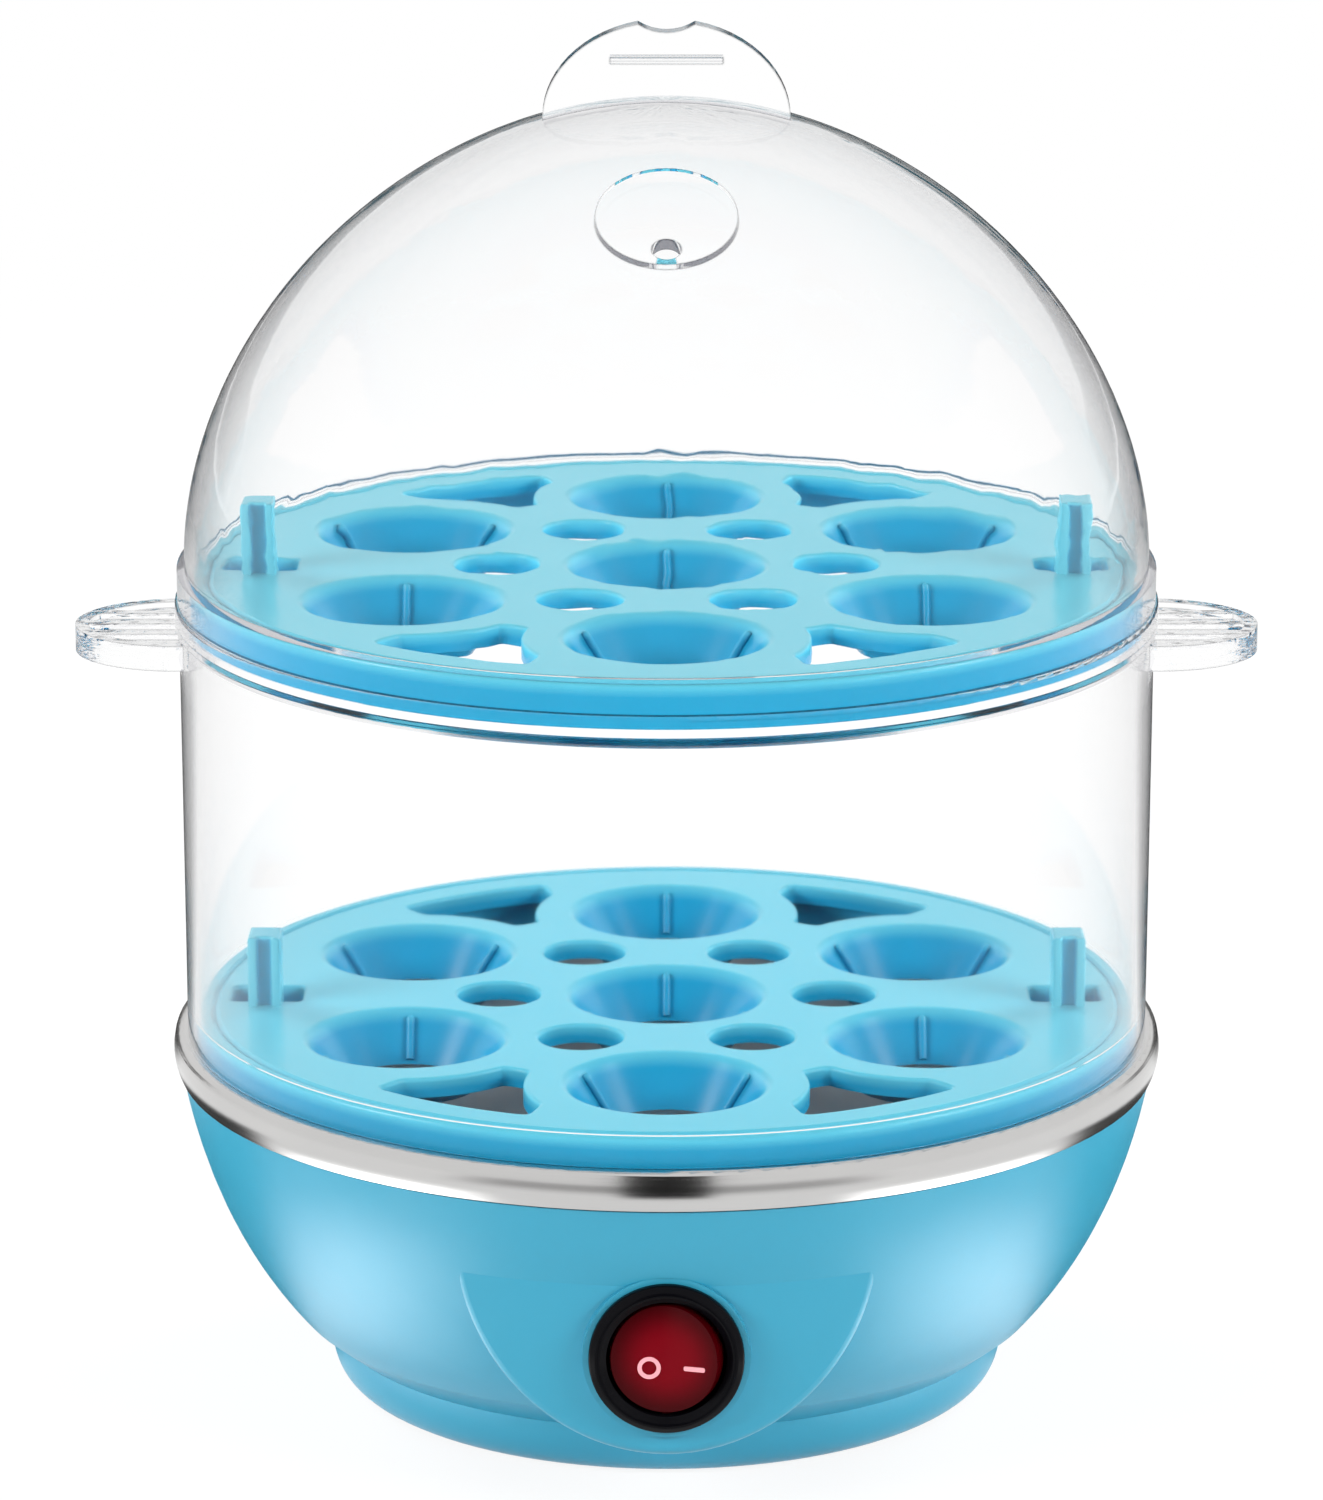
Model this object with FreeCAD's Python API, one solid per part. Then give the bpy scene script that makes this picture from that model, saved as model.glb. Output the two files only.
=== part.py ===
# Two-tier electric egg cooker: a heated base, two egg trays, a clear steam ring and a clear dome.
# Millimetres, +Z up, origin on the table under the middle, the switch faces -Y.
import FreeCAD, Part
import math
import os

V = FreeCAD.Vector
ORIGIN = V(0, 0, 0)
UP = V(0, 0, 1)
RIGHT = V(1, 0, 0)
BACK = V(0, 1, 0)

# The stack, from the table up
FOOT_LIFT = 0.6            # foot edge above the table, the rubber feet stand proud by this
SHOULDER_Z = 50.1          # top of the blue bowl
BAND_HEIGHT = 6.0          # visible steel band
BAND_GAP = 0.3             # between the band's lower edge and the bowl
RING_HEIGHT = 66.2         # from the pan's rim to the upper tray's seat
DOME_HEIGHT = 76.0         # from the collar's top to the dome's top
FLOOR_DEPTH = 14.2         # water dish under the lower tray's seat

# Egg trays
TRAY_RADIUS = 72.8
TRAY_PLATE = 3.0
SKIRT_HEIGHT = 6.6
NEST_DEPTH = 2.2           # a tray's skirt sits this far down inside the rim or collar
SKIRT_WALL = 2.0
SEAT_WIDTH = 3.5           # ledge that a tray stands on
EDGE_ROUND = 1.2
GROOVE_INSET = 2.8         # ring groove inside the tray's edge
GROOVE_HALF_WIDTH = 0.7
GROOVE_DEPTH = 0.45
LOCATOR_GAP = 1.5          # between a tray's locating ring and its seat
LOCATOR_WALL = 1.6
LOCATOR_DROP = 0.9         # below the seat
EGG_COUNT = 6              # eggs round the middle one
EGG_CIRCLE = 45.5          # radius of their ring
CUP_TOP_RADIUS = 15.2
CUP_LOW_RADIUS = 9.6
CUP_DEPTH = 7.4
CUP_LIP = 0.8              # rounding round the top of a cup
CUP_WALL = 1.4
CUP_RIB_WIDTH = 1.3
CUP_RIB_REACH = 1.1        # how far a rib stands into the cup at its top
VENT_CIRCLE = 26.0
VENT_RADIUS = 6.4
FAN_INNER = 44.8           # curved triangular vents near the edge
FAN_INSET = 8.6            # their outer side inside the tray's edge
FAN_HALF_ANGLE = 11.6
FAN_CLEAR = 21.3           # distance of its sides from the cups beside it
POST_INSET = 10.8          # middle of a post inside the tray's edge
POST_WIDTH = 5.0
POST_DEPTH = 6.6
POST_HEIGHT = 11.0
POST_CHANNEL = 2.2         # groove down the front of a post
POST_CHANNEL_DEPTH = 1.1
SLOT_WIDTH = 11.0
SLOT_DEPTH = 8.0

# Clear covers
FIT_GAP = 0.3              # radial play between a tray and the cover round it
LEDGE_GAP = 0.4            # between a tray's top and the ledge above it
RING_LIP = 1.2             # ring's wall beside the lower tray
RING_WALL = 2.0
RING_DRAFT = 0.3
COLLAR_STEP = 0.6
COLLAR_DROP = 1.6          # collar's lower edge under the upper seat
EAR_REACH = 16.0
EAR_HALF_WIDTH = 15.0
EAR_THICK = 4.0
EAR_DROP = 4.6             # middle of the ears under the upper seat
EAR_LIP = 2.0
EAR_RECESS = 1.0
EAR_RIBS = 3
DOME_LIP = 1.7             # dome's wall beside the upper tray
DOME_STEP = 1.1
DOME_SKIRT = 5.4
DOME_WALL = 1.6
DOME_FULLNESS = 0.6356     # weight of the dome's conic profile, 0.707 is an ellipse
FIN_HALF_WIDTH = 18.7
FIN_HEIGHT = 14.9
FIN_THICK = 3.2
FIN_SINK = 2.6             # fin's centre line under the dome's top
FIN_DIP_RADIUS = 8.0
FIN_DIP = 1.65             # thumb dip at the top of the fin
FIN_RIDGE = 0.5
FIN_RIDGE_HEIGHT = 9.0
FIN_RIDGE_LENGTH = 17.0
PAD_PLACE = 0.645          # along the dome's profile, 0 at the rim and 1 at the top
PAD_RADIUS = 10.5
PAD_RISE = 0.3
STEAM_HOLE_RADIUS = 2.2
STEAM_HOLE_OFFSET = 7.2

# Heating pan
PAN_SHEET = 0.8
PAN_FLOOR_RADIUS = 60.0
PAN_BEND = 4.0
RIM_BEND = 0.6
STEP_BEND = 0.1            # at the top of the step round the lower tray
BAND_BEND = 6.0
RIM_REACH = 3.1            # rim beyond the tray
BAND_BULGE = 1.1
BAND_TUCK = 0.2
GASKET_THICK = 1.5
GASKET_WIDTH = 1.9

# Housing
HOUSING_WALL = 2.3
COLLAR_PLAY = 1.6          # between the housing's collar and the steel band
BAND_OVERHANG = 0.46
BELLY_INSET = 4.29         # bulge of the bowl inside its shoulder
BELLY_Z = 26.96
BOWL_LOW_RADIUS = 58.07
BOWL_LOW_Z = 12.5
FOOT_RADIUS = 52.6
FOOT_Z = 8.2
FOOT_LOW_RADIUS = 49.6
FOOT_ROUND_Z = 2.0
CHIN_RADIUS = 31.2
CHIN_Z = 42.0
CHIN_INSET = 3.04          # front of the chin, at its centre height, inside the shoulder
CHIN_LEAN = 1.5            # degrees, the chin's face leans in towards the table
CHIN_EDGE = 1.5
CHIN_TOP_DROP = 1.0

# Underside
COVER_RADIUS = 47.0
COVER_PLAY = 0.3
COVER_THICK = 2.0
COVER_Z = 1.2
FOOT_PAD_RADIUS = 4.5
FOOT_PAD_CIRCLE = 38.0
FOOT_STEM_RADIUS = 2.0
FOOT_BULB_RADIUS = 2.7
FOOT_BULB_HEIGHT = 1.3
STEM_PLAY = 0.1
SCREW_CIRCLE = 43.0
SCREW_RADIUS = 1.4
SCREW_HEAD_RADIUS = 2.8
SCREW_HEAD_HEIGHT = 1.3
SCREW_LENGTH = 9.0
SCREW_PLAY = 0.08
SCREW_ANGLES = (30, 150, 270)
BOSS_WALL = 2.0
BOSS_HEIGHT = 11.0
BOSS_RIB = 2.0
LOUVRE_COUNT = 6
LOUVRE_INNER = 12.0
LOUVRE_OUTER = 29.0
LOUVRE_WIDTH = 3.0

# Heater
PLATE_RADIUS = 36.0
PLATE_THICK = 5.0
TUBE_CIRCLE = 25.0
TUBE_RADIUS = 3.2
TUBE_PLAY = 0.1
TUBE_OPEN = 50.0           # degrees left open at the back
PIN_RADIUS = 1.6
PIN_LENGTH = 8.2
STUD_RADIUS = 2.5
STUD_PLAY = 0.1
STUD_TAIL = 1.5
BAR_Z = 15.4
BAR_THICK = 1.6
BAR_WIDTH = 14.0
BAR_END_GAP = 1.77         # between the bar's ends and the bowl
BAR_HOLD = 4.0             # bar's overlap with the lugs it pulls against
LUG_HEIGHT = 5.0
LUG_WIDTH = 16.0
NUT_ACROSS = 8.0
NUT_HEIGHT = 4.0
NUT_FLANGE_RADIUS = 5.4
NUT_FLANGE = 1.0
STAT_RADIUS = 7.0
STAT_HEIGHT = 7.0
STAT_OFFSET = 13.0
STAT_RIM = 1.0
TAB_WIDTH = 4.8
TAB_THICK = 0.8
TAB_LENGTH = 7.0
FUSE_RADIUS = 2.1
FUSE_LENGTH = 10.0
FUSE_LEG_RADIUS = 0.6
FUSE_LEG = 1.5

# Switch
SWITCH_Z = 26.7
PAD_PROUD = 0.6            # flat seat of the switch, proud of the chin
SEAT_RADIUS = 12.4
BEZEL_RADIUS = 11.5
BEZEL_THICK = 2.0
BARREL_RADIUS = 9.85
BARREL_PLAY = 0.25
BARREL_DEPTH = 14.0
BARREL_WALL = 1.2
WELL_RADIUS = 8.9
ROCKER_PLAY = 0.3
ROCKER_PIVOT = 1.7         # behind the seat
ROCKER_FACE = 2.4          # in front of the pivot
ROCKER_DISH = 30.0
ROCKER_BACK = 3.5
ROCKER_TILT = 6.0          # degrees either side of the middle
TRUNNION_RADIUS = 1.2
TRUNNION_PLAY = 0.08
TRUNNION_END_GAP = 0.35
LAMP_RADIUS = 1.5
LAMP_LENGTH = 9.0
SWITCH_TAB_PITCH = 5.5

# Cord entry and wiring
GLAND_Z = 18.0
GLAND_BORE = 3.4
GLAND_RADIUS = 5.9
GLAND_PLAY = 0.15
GLAND_FLANGE_RADIUS = 7.8
GLAND_FLANGE = 3.0
GLAND_INSET = 6.74         # flat face at the back, inside the shoulder
GLAND_INNER_GAP = 0.8      # flat face inside, clear of the bowl's narrowest part
GLAND_BOSS_WALL = 3.2
GLAND_TAIL = 4.5
GLAND_NUT_ACROSS = 14.0
GLAND_NUT = 3.5
BLOCK_LENGTH = 25.0
BLOCK_WIDTH = 10.0
BLOCK_HEIGHT = 9.0
BLOCK_Y = 36.0
BLOCK_PITCH = 9.5
BLOCK_SCREW_RADIUS = 2.0
LEAD_RADIUS = 1.2
LEAD_BEND = 0.45           # share of the shorter run that a bend takes up
LEAD_RUN = 7.0             # straight start of a lead at a terminal
LEAD_SHORT_RUN = 3.5
LIVE_WAY = ((14, 0, 8), (12, -30, 12))
SWITCHED_WAY = (-15, -33, 26)
SWITCHED_DROP = (-20, -18)
HEATER_WAY = (19, 2, 22)
HEATER_DIP = 8.0           # the heater lead passes this far under the pin it ends on
EARTH_WAY = (0, 14, 12)

# Heights and radii that follow from the sizes above
rim_top = SHOULDER_Z + BAND_GAP + BAND_HEIGHT
low_seat = rim_top - NEST_DEPTH
high_seat = rim_top + RING_HEIGHT
collar_top = high_seat + NEST_DEPTH
low_tray_top = low_seat + SKIRT_HEIGHT
high_tray_top = high_seat + SKIRT_HEIGHT
dome_top = collar_top + DOME_HEIGHT
egg_pitch = 360 / EGG_COUNT
cup_slope = (CUP_TOP_RADIUS - CUP_LOW_RADIUS) / CUP_DEPTH
post_circle = TRAY_RADIUS - POST_INSET
fan_outer = TRAY_RADIUS - FAN_INSET
cover_bore = TRAY_RADIUS + FIT_GAP
ring_low_radius = cover_bore + RING_LIP
ring_high_radius = ring_low_radius + RING_DRAFT
ring_bore = ring_low_radius - RING_WALL
collar_radius = ring_high_radius + COLLAR_STEP
dome_skirt_radius = cover_bore + DOME_LIP
dome_radius = dome_skirt_radius - DOME_STEP
dome_base = collar_top + DOME_SKIRT
seat_bore = TRAY_RADIUS - SEAT_WIDTH
rim_radius = TRAY_RADIUS + RIM_REACH
band_low_radius = rim_radius - BAND_TUCK
pan_floor = low_seat - FLOOR_DEPTH
pan_under = pan_floor - PAN_SHEET
housing_collar_radius = band_low_radius - PAN_SHEET - COLLAR_PLAY
housing_collar_top = low_seat - PAN_SHEET - GASKET_THICK
shoulder_radius = band_low_radius - BAND_OVERHANG
belly_radius = shoulder_radius - BELLY_INSET
chin_face = shoulder_radius - CHIN_INSET
narrowest_bore = min(BOWL_LOW_RADIUS, FOOT_RADIUS) - HOUSING_WALL
gland_seat = shoulder_radius - GLAND_INSET
gland_inner_seat = narrowest_bore - GLAND_INNER_GAP
bar_half_length = BOWL_LOW_RADIUS - HOUSING_WALL - BAR_END_GAP
cover_top = COVER_Z + COVER_THICK
plate_under = pan_under - PLATE_THICK
bar_top = BAR_Z + BAR_THICK
chin_slope = math.tan(math.radians(CHIN_LEAN))
switch_seat = chin_face - chin_slope * (CHIN_Z - SWITCH_Z) + PAD_PROUD
rocker_radius = WELL_RADIUS - ROCKER_PLAY
pin_end = plate_under - PIN_LENGTH
pin_x = TUBE_CIRCLE * math.sin(math.radians(TUBE_OPEN / 2))
pin_y = TUBE_CIRCLE * math.cos(math.radians(TUBE_OPEN / 2))
block_front = BLOCK_Y - BLOCK_WIDTH / 2
block_way_z = cover_top + BLOCK_HEIGHT / 2
tab_tip_y = BARREL_DEPTH + TAB_LENGTH - switch_seat


def section(radius, height):
    """A point of a profile that is turned about the Z axis."""
    return V(radius, 0, height)


def line(start, end):
    return Part.LineSegment(section(*start), section(*end)).toShape()


def curve(poles, weight=1.0):
    """Three-pole curve of a profile; the weight pulls it towards its middle pole."""
    bezier = Part.BezierCurve()
    bezier.setPoles([section(*pole) for pole in poles])
    bezier.setWeight(2, weight)
    return bezier


def turned(edges):
    """Solid of revolution about the Z axis."""
    return Part.Face(Part.Wire(edges)).revolve(ORIGIN, UP, 360)


def corner_arc(before, corner, after, radius):
    """Ends and middle of the arc that rounds one corner."""
    back = (before - corner).normalize()
    ahead = (after - corner).normalize()
    half = back.getAngle(ahead) / 2
    reach = radius / math.tan(half)
    bisector = (back + ahead).normalize()
    middle = corner + bisector * (radius / math.sin(half) - radius)
    return corner + back * reach, middle, corner + ahead * reach


def outline(corners):
    """Closed profile edges; a third number rounds that corner."""
    points = [section(corner[0], corner[1]) for corner in corners]
    count = len(points)
    stops = []
    for index, corner in enumerate(corners):
        if len(corner) > 2:
            after = points[(index + 1) % count]
            stops.append(corner_arc(points[index - 1], points[index], after, corner[2]))
        else:
            stops.append((points[index], None, points[index]))
    edges = []
    for index, (start, middle, end) in enumerate(stops):
        if middle:
            edges.append(Part.Arc(start, middle, end).toShape())
        edges.append(Part.makeLine(end, stops[(index + 1) % count][0]))
    return edges


def sheet_outline(path, thickness):
    """Closed profile of a bent sheet: the path, then the same path one thickness to its right."""
    count = len(path)
    headings = []
    for index in range(count - 1):
        step = V(path[index + 1][0] - path[index][0], path[index + 1][1] - path[index][1], 0)
        headings.append(step.normalize())
    near = []
    far = []
    for index, (radius, height, bend) in enumerate(path):
        before = headings[max(index - 1, 0)]
        after = headings[min(index, count - 2)]
        normal_sum = V(before.y + after.y, -before.x - after.x, 0)
        shift = normal_sum * (thickness / (1 + before.dot(after)))
        far_point = (radius + shift.x, height + shift.y)
        if bend == 0:
            near.append((radius, height))
            far.append(far_point)
        else:
            left_turn = before.x * after.y - before.y * after.x > 0
            near.append((radius, height, bend if left_turn else bend + thickness))
            far.append(far_point + (bend + thickness if left_turn else bend,))
    return outline(near + far[::-1])


def ring_points(radius, degrees_list):
    """Places on a circle about the Z axis."""
    angles = [math.radians(degrees) for degrees in degrees_list]
    return [V(radius * math.cos(angle), radius * math.sin(angle), 0) for angle in angles]


def upright(radius, low, high, place=ORIGIN):
    """Vertical cylinder between two heights."""
    return Part.makeCylinder(radius, high - low, V(place.x, place.y, low), UP)


def lengthwise(radius, front, rear, height, x=0):
    """Cylinder along Y between two depths."""
    return Part.makeCylinder(radius, rear - front, V(x, front, height), BACK)


def crosswise(radius, length, y, height):
    """Cylinder along X, centred on the middle."""
    return Part.makeCylinder(radius, length, V(-length / 2, y, height), RIGHT)


def block(width, depth, height, centre_x, centre_y, low):
    """Box centred in X and Y, standing on a height."""
    return Part.makeBox(width, depth, height, V(centre_x - width / 2, centre_y - depth / 2, low))


def hexagon(across, low, height):
    """Hexagonal prism about the Z axis."""
    corner_radius = across / math.sqrt(3)
    corners = ring_points(corner_radius, range(0, 420, 60))
    face = Part.Face(Part.makePolygon(corners))
    return face.extrude(UP * height).translated(UP * low)


def facing_front(shape, depth, height):
    """Turns a shape made about Z so that it points to -Y, and sets it at a depth and height."""
    turned_shape = shape.rotated(ORIGIN, RIGHT, 90)
    return turned_shape.translated(V(0, -depth, height))


def lead(points):
    """Round lead along straight runs joined by arcs as large as the runs allow."""
    corners = [V(*point) for point in points]
    edges = []
    here = corners[0]
    for before, corner, after in zip(corners, corners[1:], corners[2:]):
        run = min((corner - before).Length, (after - corner).Length)
        half = (before - corner).getAngle(after - corner) / 2
        radius = LEAD_BEND * run * math.tan(half)
        start, middle, end = corner_arc(before, corner, after, radius)
        edges.append(Part.makeLine(here, start))
        edges.append(Part.Arc(start, middle, end).toShape())
        here = end
    edges.append(Part.makeLine(here, corners[-1]))
    circle = Part.Wire(Part.makeCircle(LEAD_RADIUS, corners[0], corners[1] - corners[0]))
    return Part.Wire(edges).makePipeShell([circle], True, False)


def save(name, shape):
    shape.exportStep("parts/" + name + ".step")


# Egg tray: plate with a skirt, cups with ribs, vents and lifting posts
def egg_cup_places():
    bearings = [egg_pitch * (index + 0.5) for index in range(EGG_COUNT)]
    return [ORIGIN] + ring_points(EGG_CIRCLE, bearings)


def cup_cutter(top):
    """Inside of one cup: a cone that opens through a rounded lip."""
    lip_radius = CUP_TOP_RADIUS + CUP_LIP
    low = top - CUP_DEPTH
    lip_start = (CUP_TOP_RADIUS - cup_slope * CUP_LIP, top - CUP_LIP)
    under = low - CUP_LIP
    return turned([
        line((0, under), (CUP_LOW_RADIUS - cup_slope * CUP_LIP, under)),
        line((CUP_LOW_RADIUS - cup_slope * CUP_LIP, under), lip_start),
        curve([lip_start, (CUP_TOP_RADIUS, top), (lip_radius, top)]).toShape(),
        line((lip_radius, top), (lip_radius, top + CUP_LIP)),
        line((lip_radius, top + CUP_LIP), (0, top + CUP_LIP)),
        line((0, top + CUP_LIP), (0, under)),
    ])


def cup_ribs(top, bearing):
    """Three ribs that lie along a cup's sloping wall, one of them at the given bearing."""
    low = top - CUP_DEPTH
    high = top - CUP_LIP
    wall_high = CUP_TOP_RADIUS - cup_slope * CUP_LIP
    back = CUP_WALL / 2
    blade = Part.Face(Part.Wire(outline([
        (CUP_LOW_RADIUS - CUP_RIB_REACH / 2, low),
        (CUP_LOW_RADIUS + back, low),
        (wall_high + back, high),
        (wall_high - CUP_RIB_REACH, high),
    ])))
    rib = blade.extrude(V(0, CUP_RIB_WIDTH, 0)).translated(V(0, -CUP_RIB_WIDTH / 2, 0))
    return [rib.rotated(ORIGIN, UP, bearing + turn) for turn in (0, 120, 240)]


def fan_vent(low, high, bearing):
    """Curved triangular vent: a sector between two radii, cut back round the cups beside it."""
    height = high - low
    sector = Part.makeCylinder(fan_outer, height, V(0, 0, low), UP, 2 * FAN_HALF_ANGLE)
    sector = sector.rotated(ORIGIN, UP, -FAN_HALF_ANGLE).cut(upright(FAN_INNER, low, high))
    cups_beside = ring_points(EGG_CIRCLE, (-egg_pitch / 2, egg_pitch / 2))
    beside = [upright(FAN_CLEAR, low, high, place) for place in cups_beside]
    return sector.cut(beside).rotated(ORIGIN, UP, bearing)


def lifting_post(top):
    """Channelled post at the front edge of its slot, on the +X side."""
    low = top - TRAY_PLATE
    height = TRAY_PLATE + POST_HEIGHT
    front = -SLOT_DEPTH / 2 - POST_DEPTH / 2
    start = V(post_circle - POST_WIDTH / 2, front, low)
    post = Part.makeBox(POST_WIDTH, POST_DEPTH, height, start)
    upright_edges = [edge for edge in post.Edges if abs(edge.BoundBox.ZLength - height) < 0.001]
    post = post.makeFillet(POST_CHANNEL_DEPTH / 2, upright_edges)
    groove_start = V(post_circle - POST_CHANNEL / 2, front - POST_CHANNEL_DEPTH, top)
    return post.cut(Part.makeBox(POST_CHANNEL, 2 * POST_CHANNEL_DEPTH, POST_HEIGHT, groove_start))


def egg_tray(top):
    seat = top - SKIRT_HEIGHT
    plate_low = top - TRAY_PLATE
    groove = TRAY_RADIUS - GROOVE_INSET
    skirt_bore = TRAY_RADIUS - SKIRT_WALL
    locator = seat_bore - LOCATOR_GAP
    locator_low = seat - LOCATOR_DROP
    body = turned(outline([
        (0, top),
        (groove - GROOVE_HALF_WIDTH, top),
        (groove, top - GROOVE_DEPTH),
        (groove + GROOVE_HALF_WIDTH, top),
        (TRAY_RADIUS, top, EDGE_ROUND),
        (TRAY_RADIUS, seat),
        (skirt_bore, seat),
        (skirt_bore, plate_low),
        (locator, plate_low),
        (locator, locator_low),
        (locator - LOCATOR_WALL, locator_low),
        (locator - LOCATOR_WALL, plate_low),
        (0, plate_low),
    ]))
    cup_low = top - CUP_DEPTH
    shell_low = CUP_LOW_RADIUS + CUP_WALL
    shell_high = CUP_TOP_RADIUS + CUP_WALL
    cup_shell = Part.makeCone(shell_low, shell_high, CUP_DEPTH - CUP_LIP, V(0, 0, cup_low))
    places = egg_cup_places()
    body = body.fuse([cup_shell.translated(place) for place in places])
    body = body.cut([cup_cutter(top).translated(place) for place in places])
    ribs = []
    for place in places:
        bearing = math.degrees(math.atan2(place.y, place.x)) if place.Length else 90
        ribs += [rib.translated(place) for rib in cup_ribs(top, bearing)]
    body = body.fuse(ribs)
    low = locator_low
    high = top + CUP_LIP
    bearings = [egg_pitch * index for index in range(EGG_COUNT)]
    cuts = [upright(VENT_RADIUS, low, high, place) for place in ring_points(VENT_CIRCLE, bearings)]
    cuts += [fan_vent(low, high, bearing) for bearing in bearings if bearing % 180]
    slot = block(SLOT_WIDTH, SLOT_DEPTH, high - low, post_circle, 0, low)
    cuts += [slot, slot.mirror(ORIGIN, RIGHT)]
    body = body.cut(cuts)
    post = lifting_post(top)
    body = body.fuse([post, post.mirror(ORIGIN, RIGHT)])
    return body.removeSplitter()


# Clear steam ring with a collar that seats the upper tray, and two ears
def steam_ring():
    ledge = low_tray_top + LEDGE_GAP
    collar_low = high_seat - COLLAR_DROP
    body = turned(outline([
        (cover_bore, rim_top),
        (ring_low_radius, rim_top),
        (ring_high_radius, collar_low),
        (collar_radius, collar_low),
        (collar_radius, collar_top, RIM_BEND),
        (cover_bore, collar_top),
        (cover_bore, high_seat),
        (seat_bore, high_seat),
        (seat_bore, high_seat - RING_WALL),
        (ring_bore, high_seat - 1.5 * RING_WALL),
        (ring_bore, ledge),
        (cover_bore, ledge),
    ]))
    grip = ear().cut(upright(ring_bore, rim_top, high_seat))
    return body.fuse([grip, grip.mirror(ORIGIN, RIGHT)]).removeSplitter()


def ear():
    """Flat grip on the +X side: half an ellipse with a raised edge and ribs in its recess."""
    low = high_seat - EAR_DROP - EAR_THICK / 2
    high = low + EAR_THICK
    plate = elliptic_plate(EAR_REACH, EAR_HALF_WIDTH, low, high)
    recess = elliptic_plate(EAR_REACH - EAR_LIP, EAR_HALF_WIDTH - EAR_LIP, high - EAR_RECESS, high)
    pitch = 2 * (EAR_HALF_WIDTH - EAR_LIP) / (EAR_RIBS + 1)
    for index in range(EAR_RIBS):
        y = (index - (EAR_RIBS - 1) / 2) * pitch
        rib = block(4 * EAR_REACH, EAR_LIP, EAR_RECESS, ring_high_radius, y, high - EAR_RECESS)
        recess = recess.cut(rib)
    return plate.cut(recess)


def elliptic_plate(reach, half_width, low, high):
    """Upright elliptic prism centred on the ring's wall."""
    centre = V(ring_high_radius, 0, low)
    along = V(reach, 0, 0) if reach >= half_width else V(0, half_width, 0)
    across = V(0, half_width, 0) if reach >= half_width else V(reach, 0, 0)
    ellipse = Part.Ellipse(centre + along, centre + across, centre).toShape()
    return Part.Face(Part.Wire(ellipse)).extrude(UP * (high - low))


# Clear dome with a fin handle and a vent pad
def dome_curve(inset):
    return curve([
        (dome_radius - inset, dome_base),
        (dome_radius - inset, dome_top - inset),
        (0, dome_top - inset),
    ], DOME_FULLNESS)


def dome_lid():
    ledge = high_tray_top + LEDGE_GAP
    inner_radius = dome_radius - DOME_WALL
    inner_top = dome_top - DOME_WALL
    shell = turned([
        line((cover_bore, collar_top), (dome_skirt_radius, collar_top)),
        line((dome_skirt_radius, collar_top), (dome_skirt_radius, ledge)),
        line((dome_skirt_radius, ledge), (dome_radius, dome_base)),
        dome_curve(0).toShape(),
        line((0, dome_top), (0, inner_top)),
        dome_curve(DOME_WALL).toShape(),
        line((inner_radius, dome_base), (inner_radius, ledge)),
        line((inner_radius, ledge), (cover_bore, ledge)),
        line((cover_bore, ledge), (cover_bore, collar_top)),
    ])
    hollow = turned([
        dome_curve(DOME_WALL).toShape(),
        line((0, inner_top), (0, dome_base)),
        line((0, dome_base), (inner_radius, dome_base)),
    ])
    spot = dome_curve(0).value(PAD_PLACE)
    along = dome_curve(0).tangent(PAD_PLACE)[0]
    normal = V(0, -abs(along.z), abs(along.x))
    centre = V(0, -spot.x, spot.z)
    downhill = V(0, -abs(along.x), -abs(along.z))
    pad = Part.makeCylinder(PAD_RADIUS, DOME_WALL + PAD_RISE, centre - normal * DOME_WALL, normal)
    hole_start = centre + downhill * STEAM_HOLE_OFFSET - normal * 3 * DOME_WALL
    hole = Part.makeCylinder(STEAM_HOLE_RADIUS, 4 * DOME_WALL, hole_start, normal)
    lid = shell.fuse([fin().cut(hollow), pad.cut(hollow)])
    return lid.cut(hole).removeSplitter()


def fin():
    """Upright half-elliptic grip with a thumb dip and a grip ridge on each face."""
    centre = V(0, -FIN_THICK / 2, dome_top - FIN_SINK)
    ellipse = Part.Ellipse(centre + RIGHT * FIN_HALF_WIDTH, centre + UP * FIN_HEIGHT, centre).toShape()
    plate = Part.Face(Part.Wire(ellipse)).extrude(BACK * FIN_THICK)
    dip_z = centre.z + FIN_HEIGHT - FIN_DIP + FIN_DIP_RADIUS
    plate = plate.cut(lengthwise(FIN_DIP_RADIUS, -FIN_THICK, FIN_THICK, dip_z))
    ridge_z = centre.z + FIN_RIDGE_HEIGHT
    ridges = [crosswise(FIN_RIDGE, FIN_RIDGE_LENGTH, y, ridge_z) for y in (FIN_THICK / 2, -FIN_THICK / 2)]
    return plate.fuse(ridges)


# Steel pan: water dish, stepped seat and rolled band in one sheet
def heating_pan():
    band_middle = rim_top - BAND_HEIGHT / 2
    return turned(sheet_outline([
        (0, pan_floor, 0),
        (PAN_FLOOR_RADIUS, pan_floor, PAN_BEND),
        (seat_bore, low_seat, RIM_BEND),
        (cover_bore, low_seat, 0.8 * FIT_GAP),
        (cover_bore, rim_top, STEP_BEND),
        (rim_radius, rim_top, RIM_BEND),
        (rim_radius + BAND_BULGE, band_middle, BAND_BEND),
        (band_low_radius, rim_top - BAND_HEIGHT, 0),
    ], PAN_SHEET))


def pan_gasket():
    outer = housing_collar_radius - FIT_GAP
    inner = outer - GASKET_WIDTH
    top = housing_collar_top + GASKET_THICK
    return upright(outer, housing_collar_top, top).cut(upright(inner, housing_collar_top, top))


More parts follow.
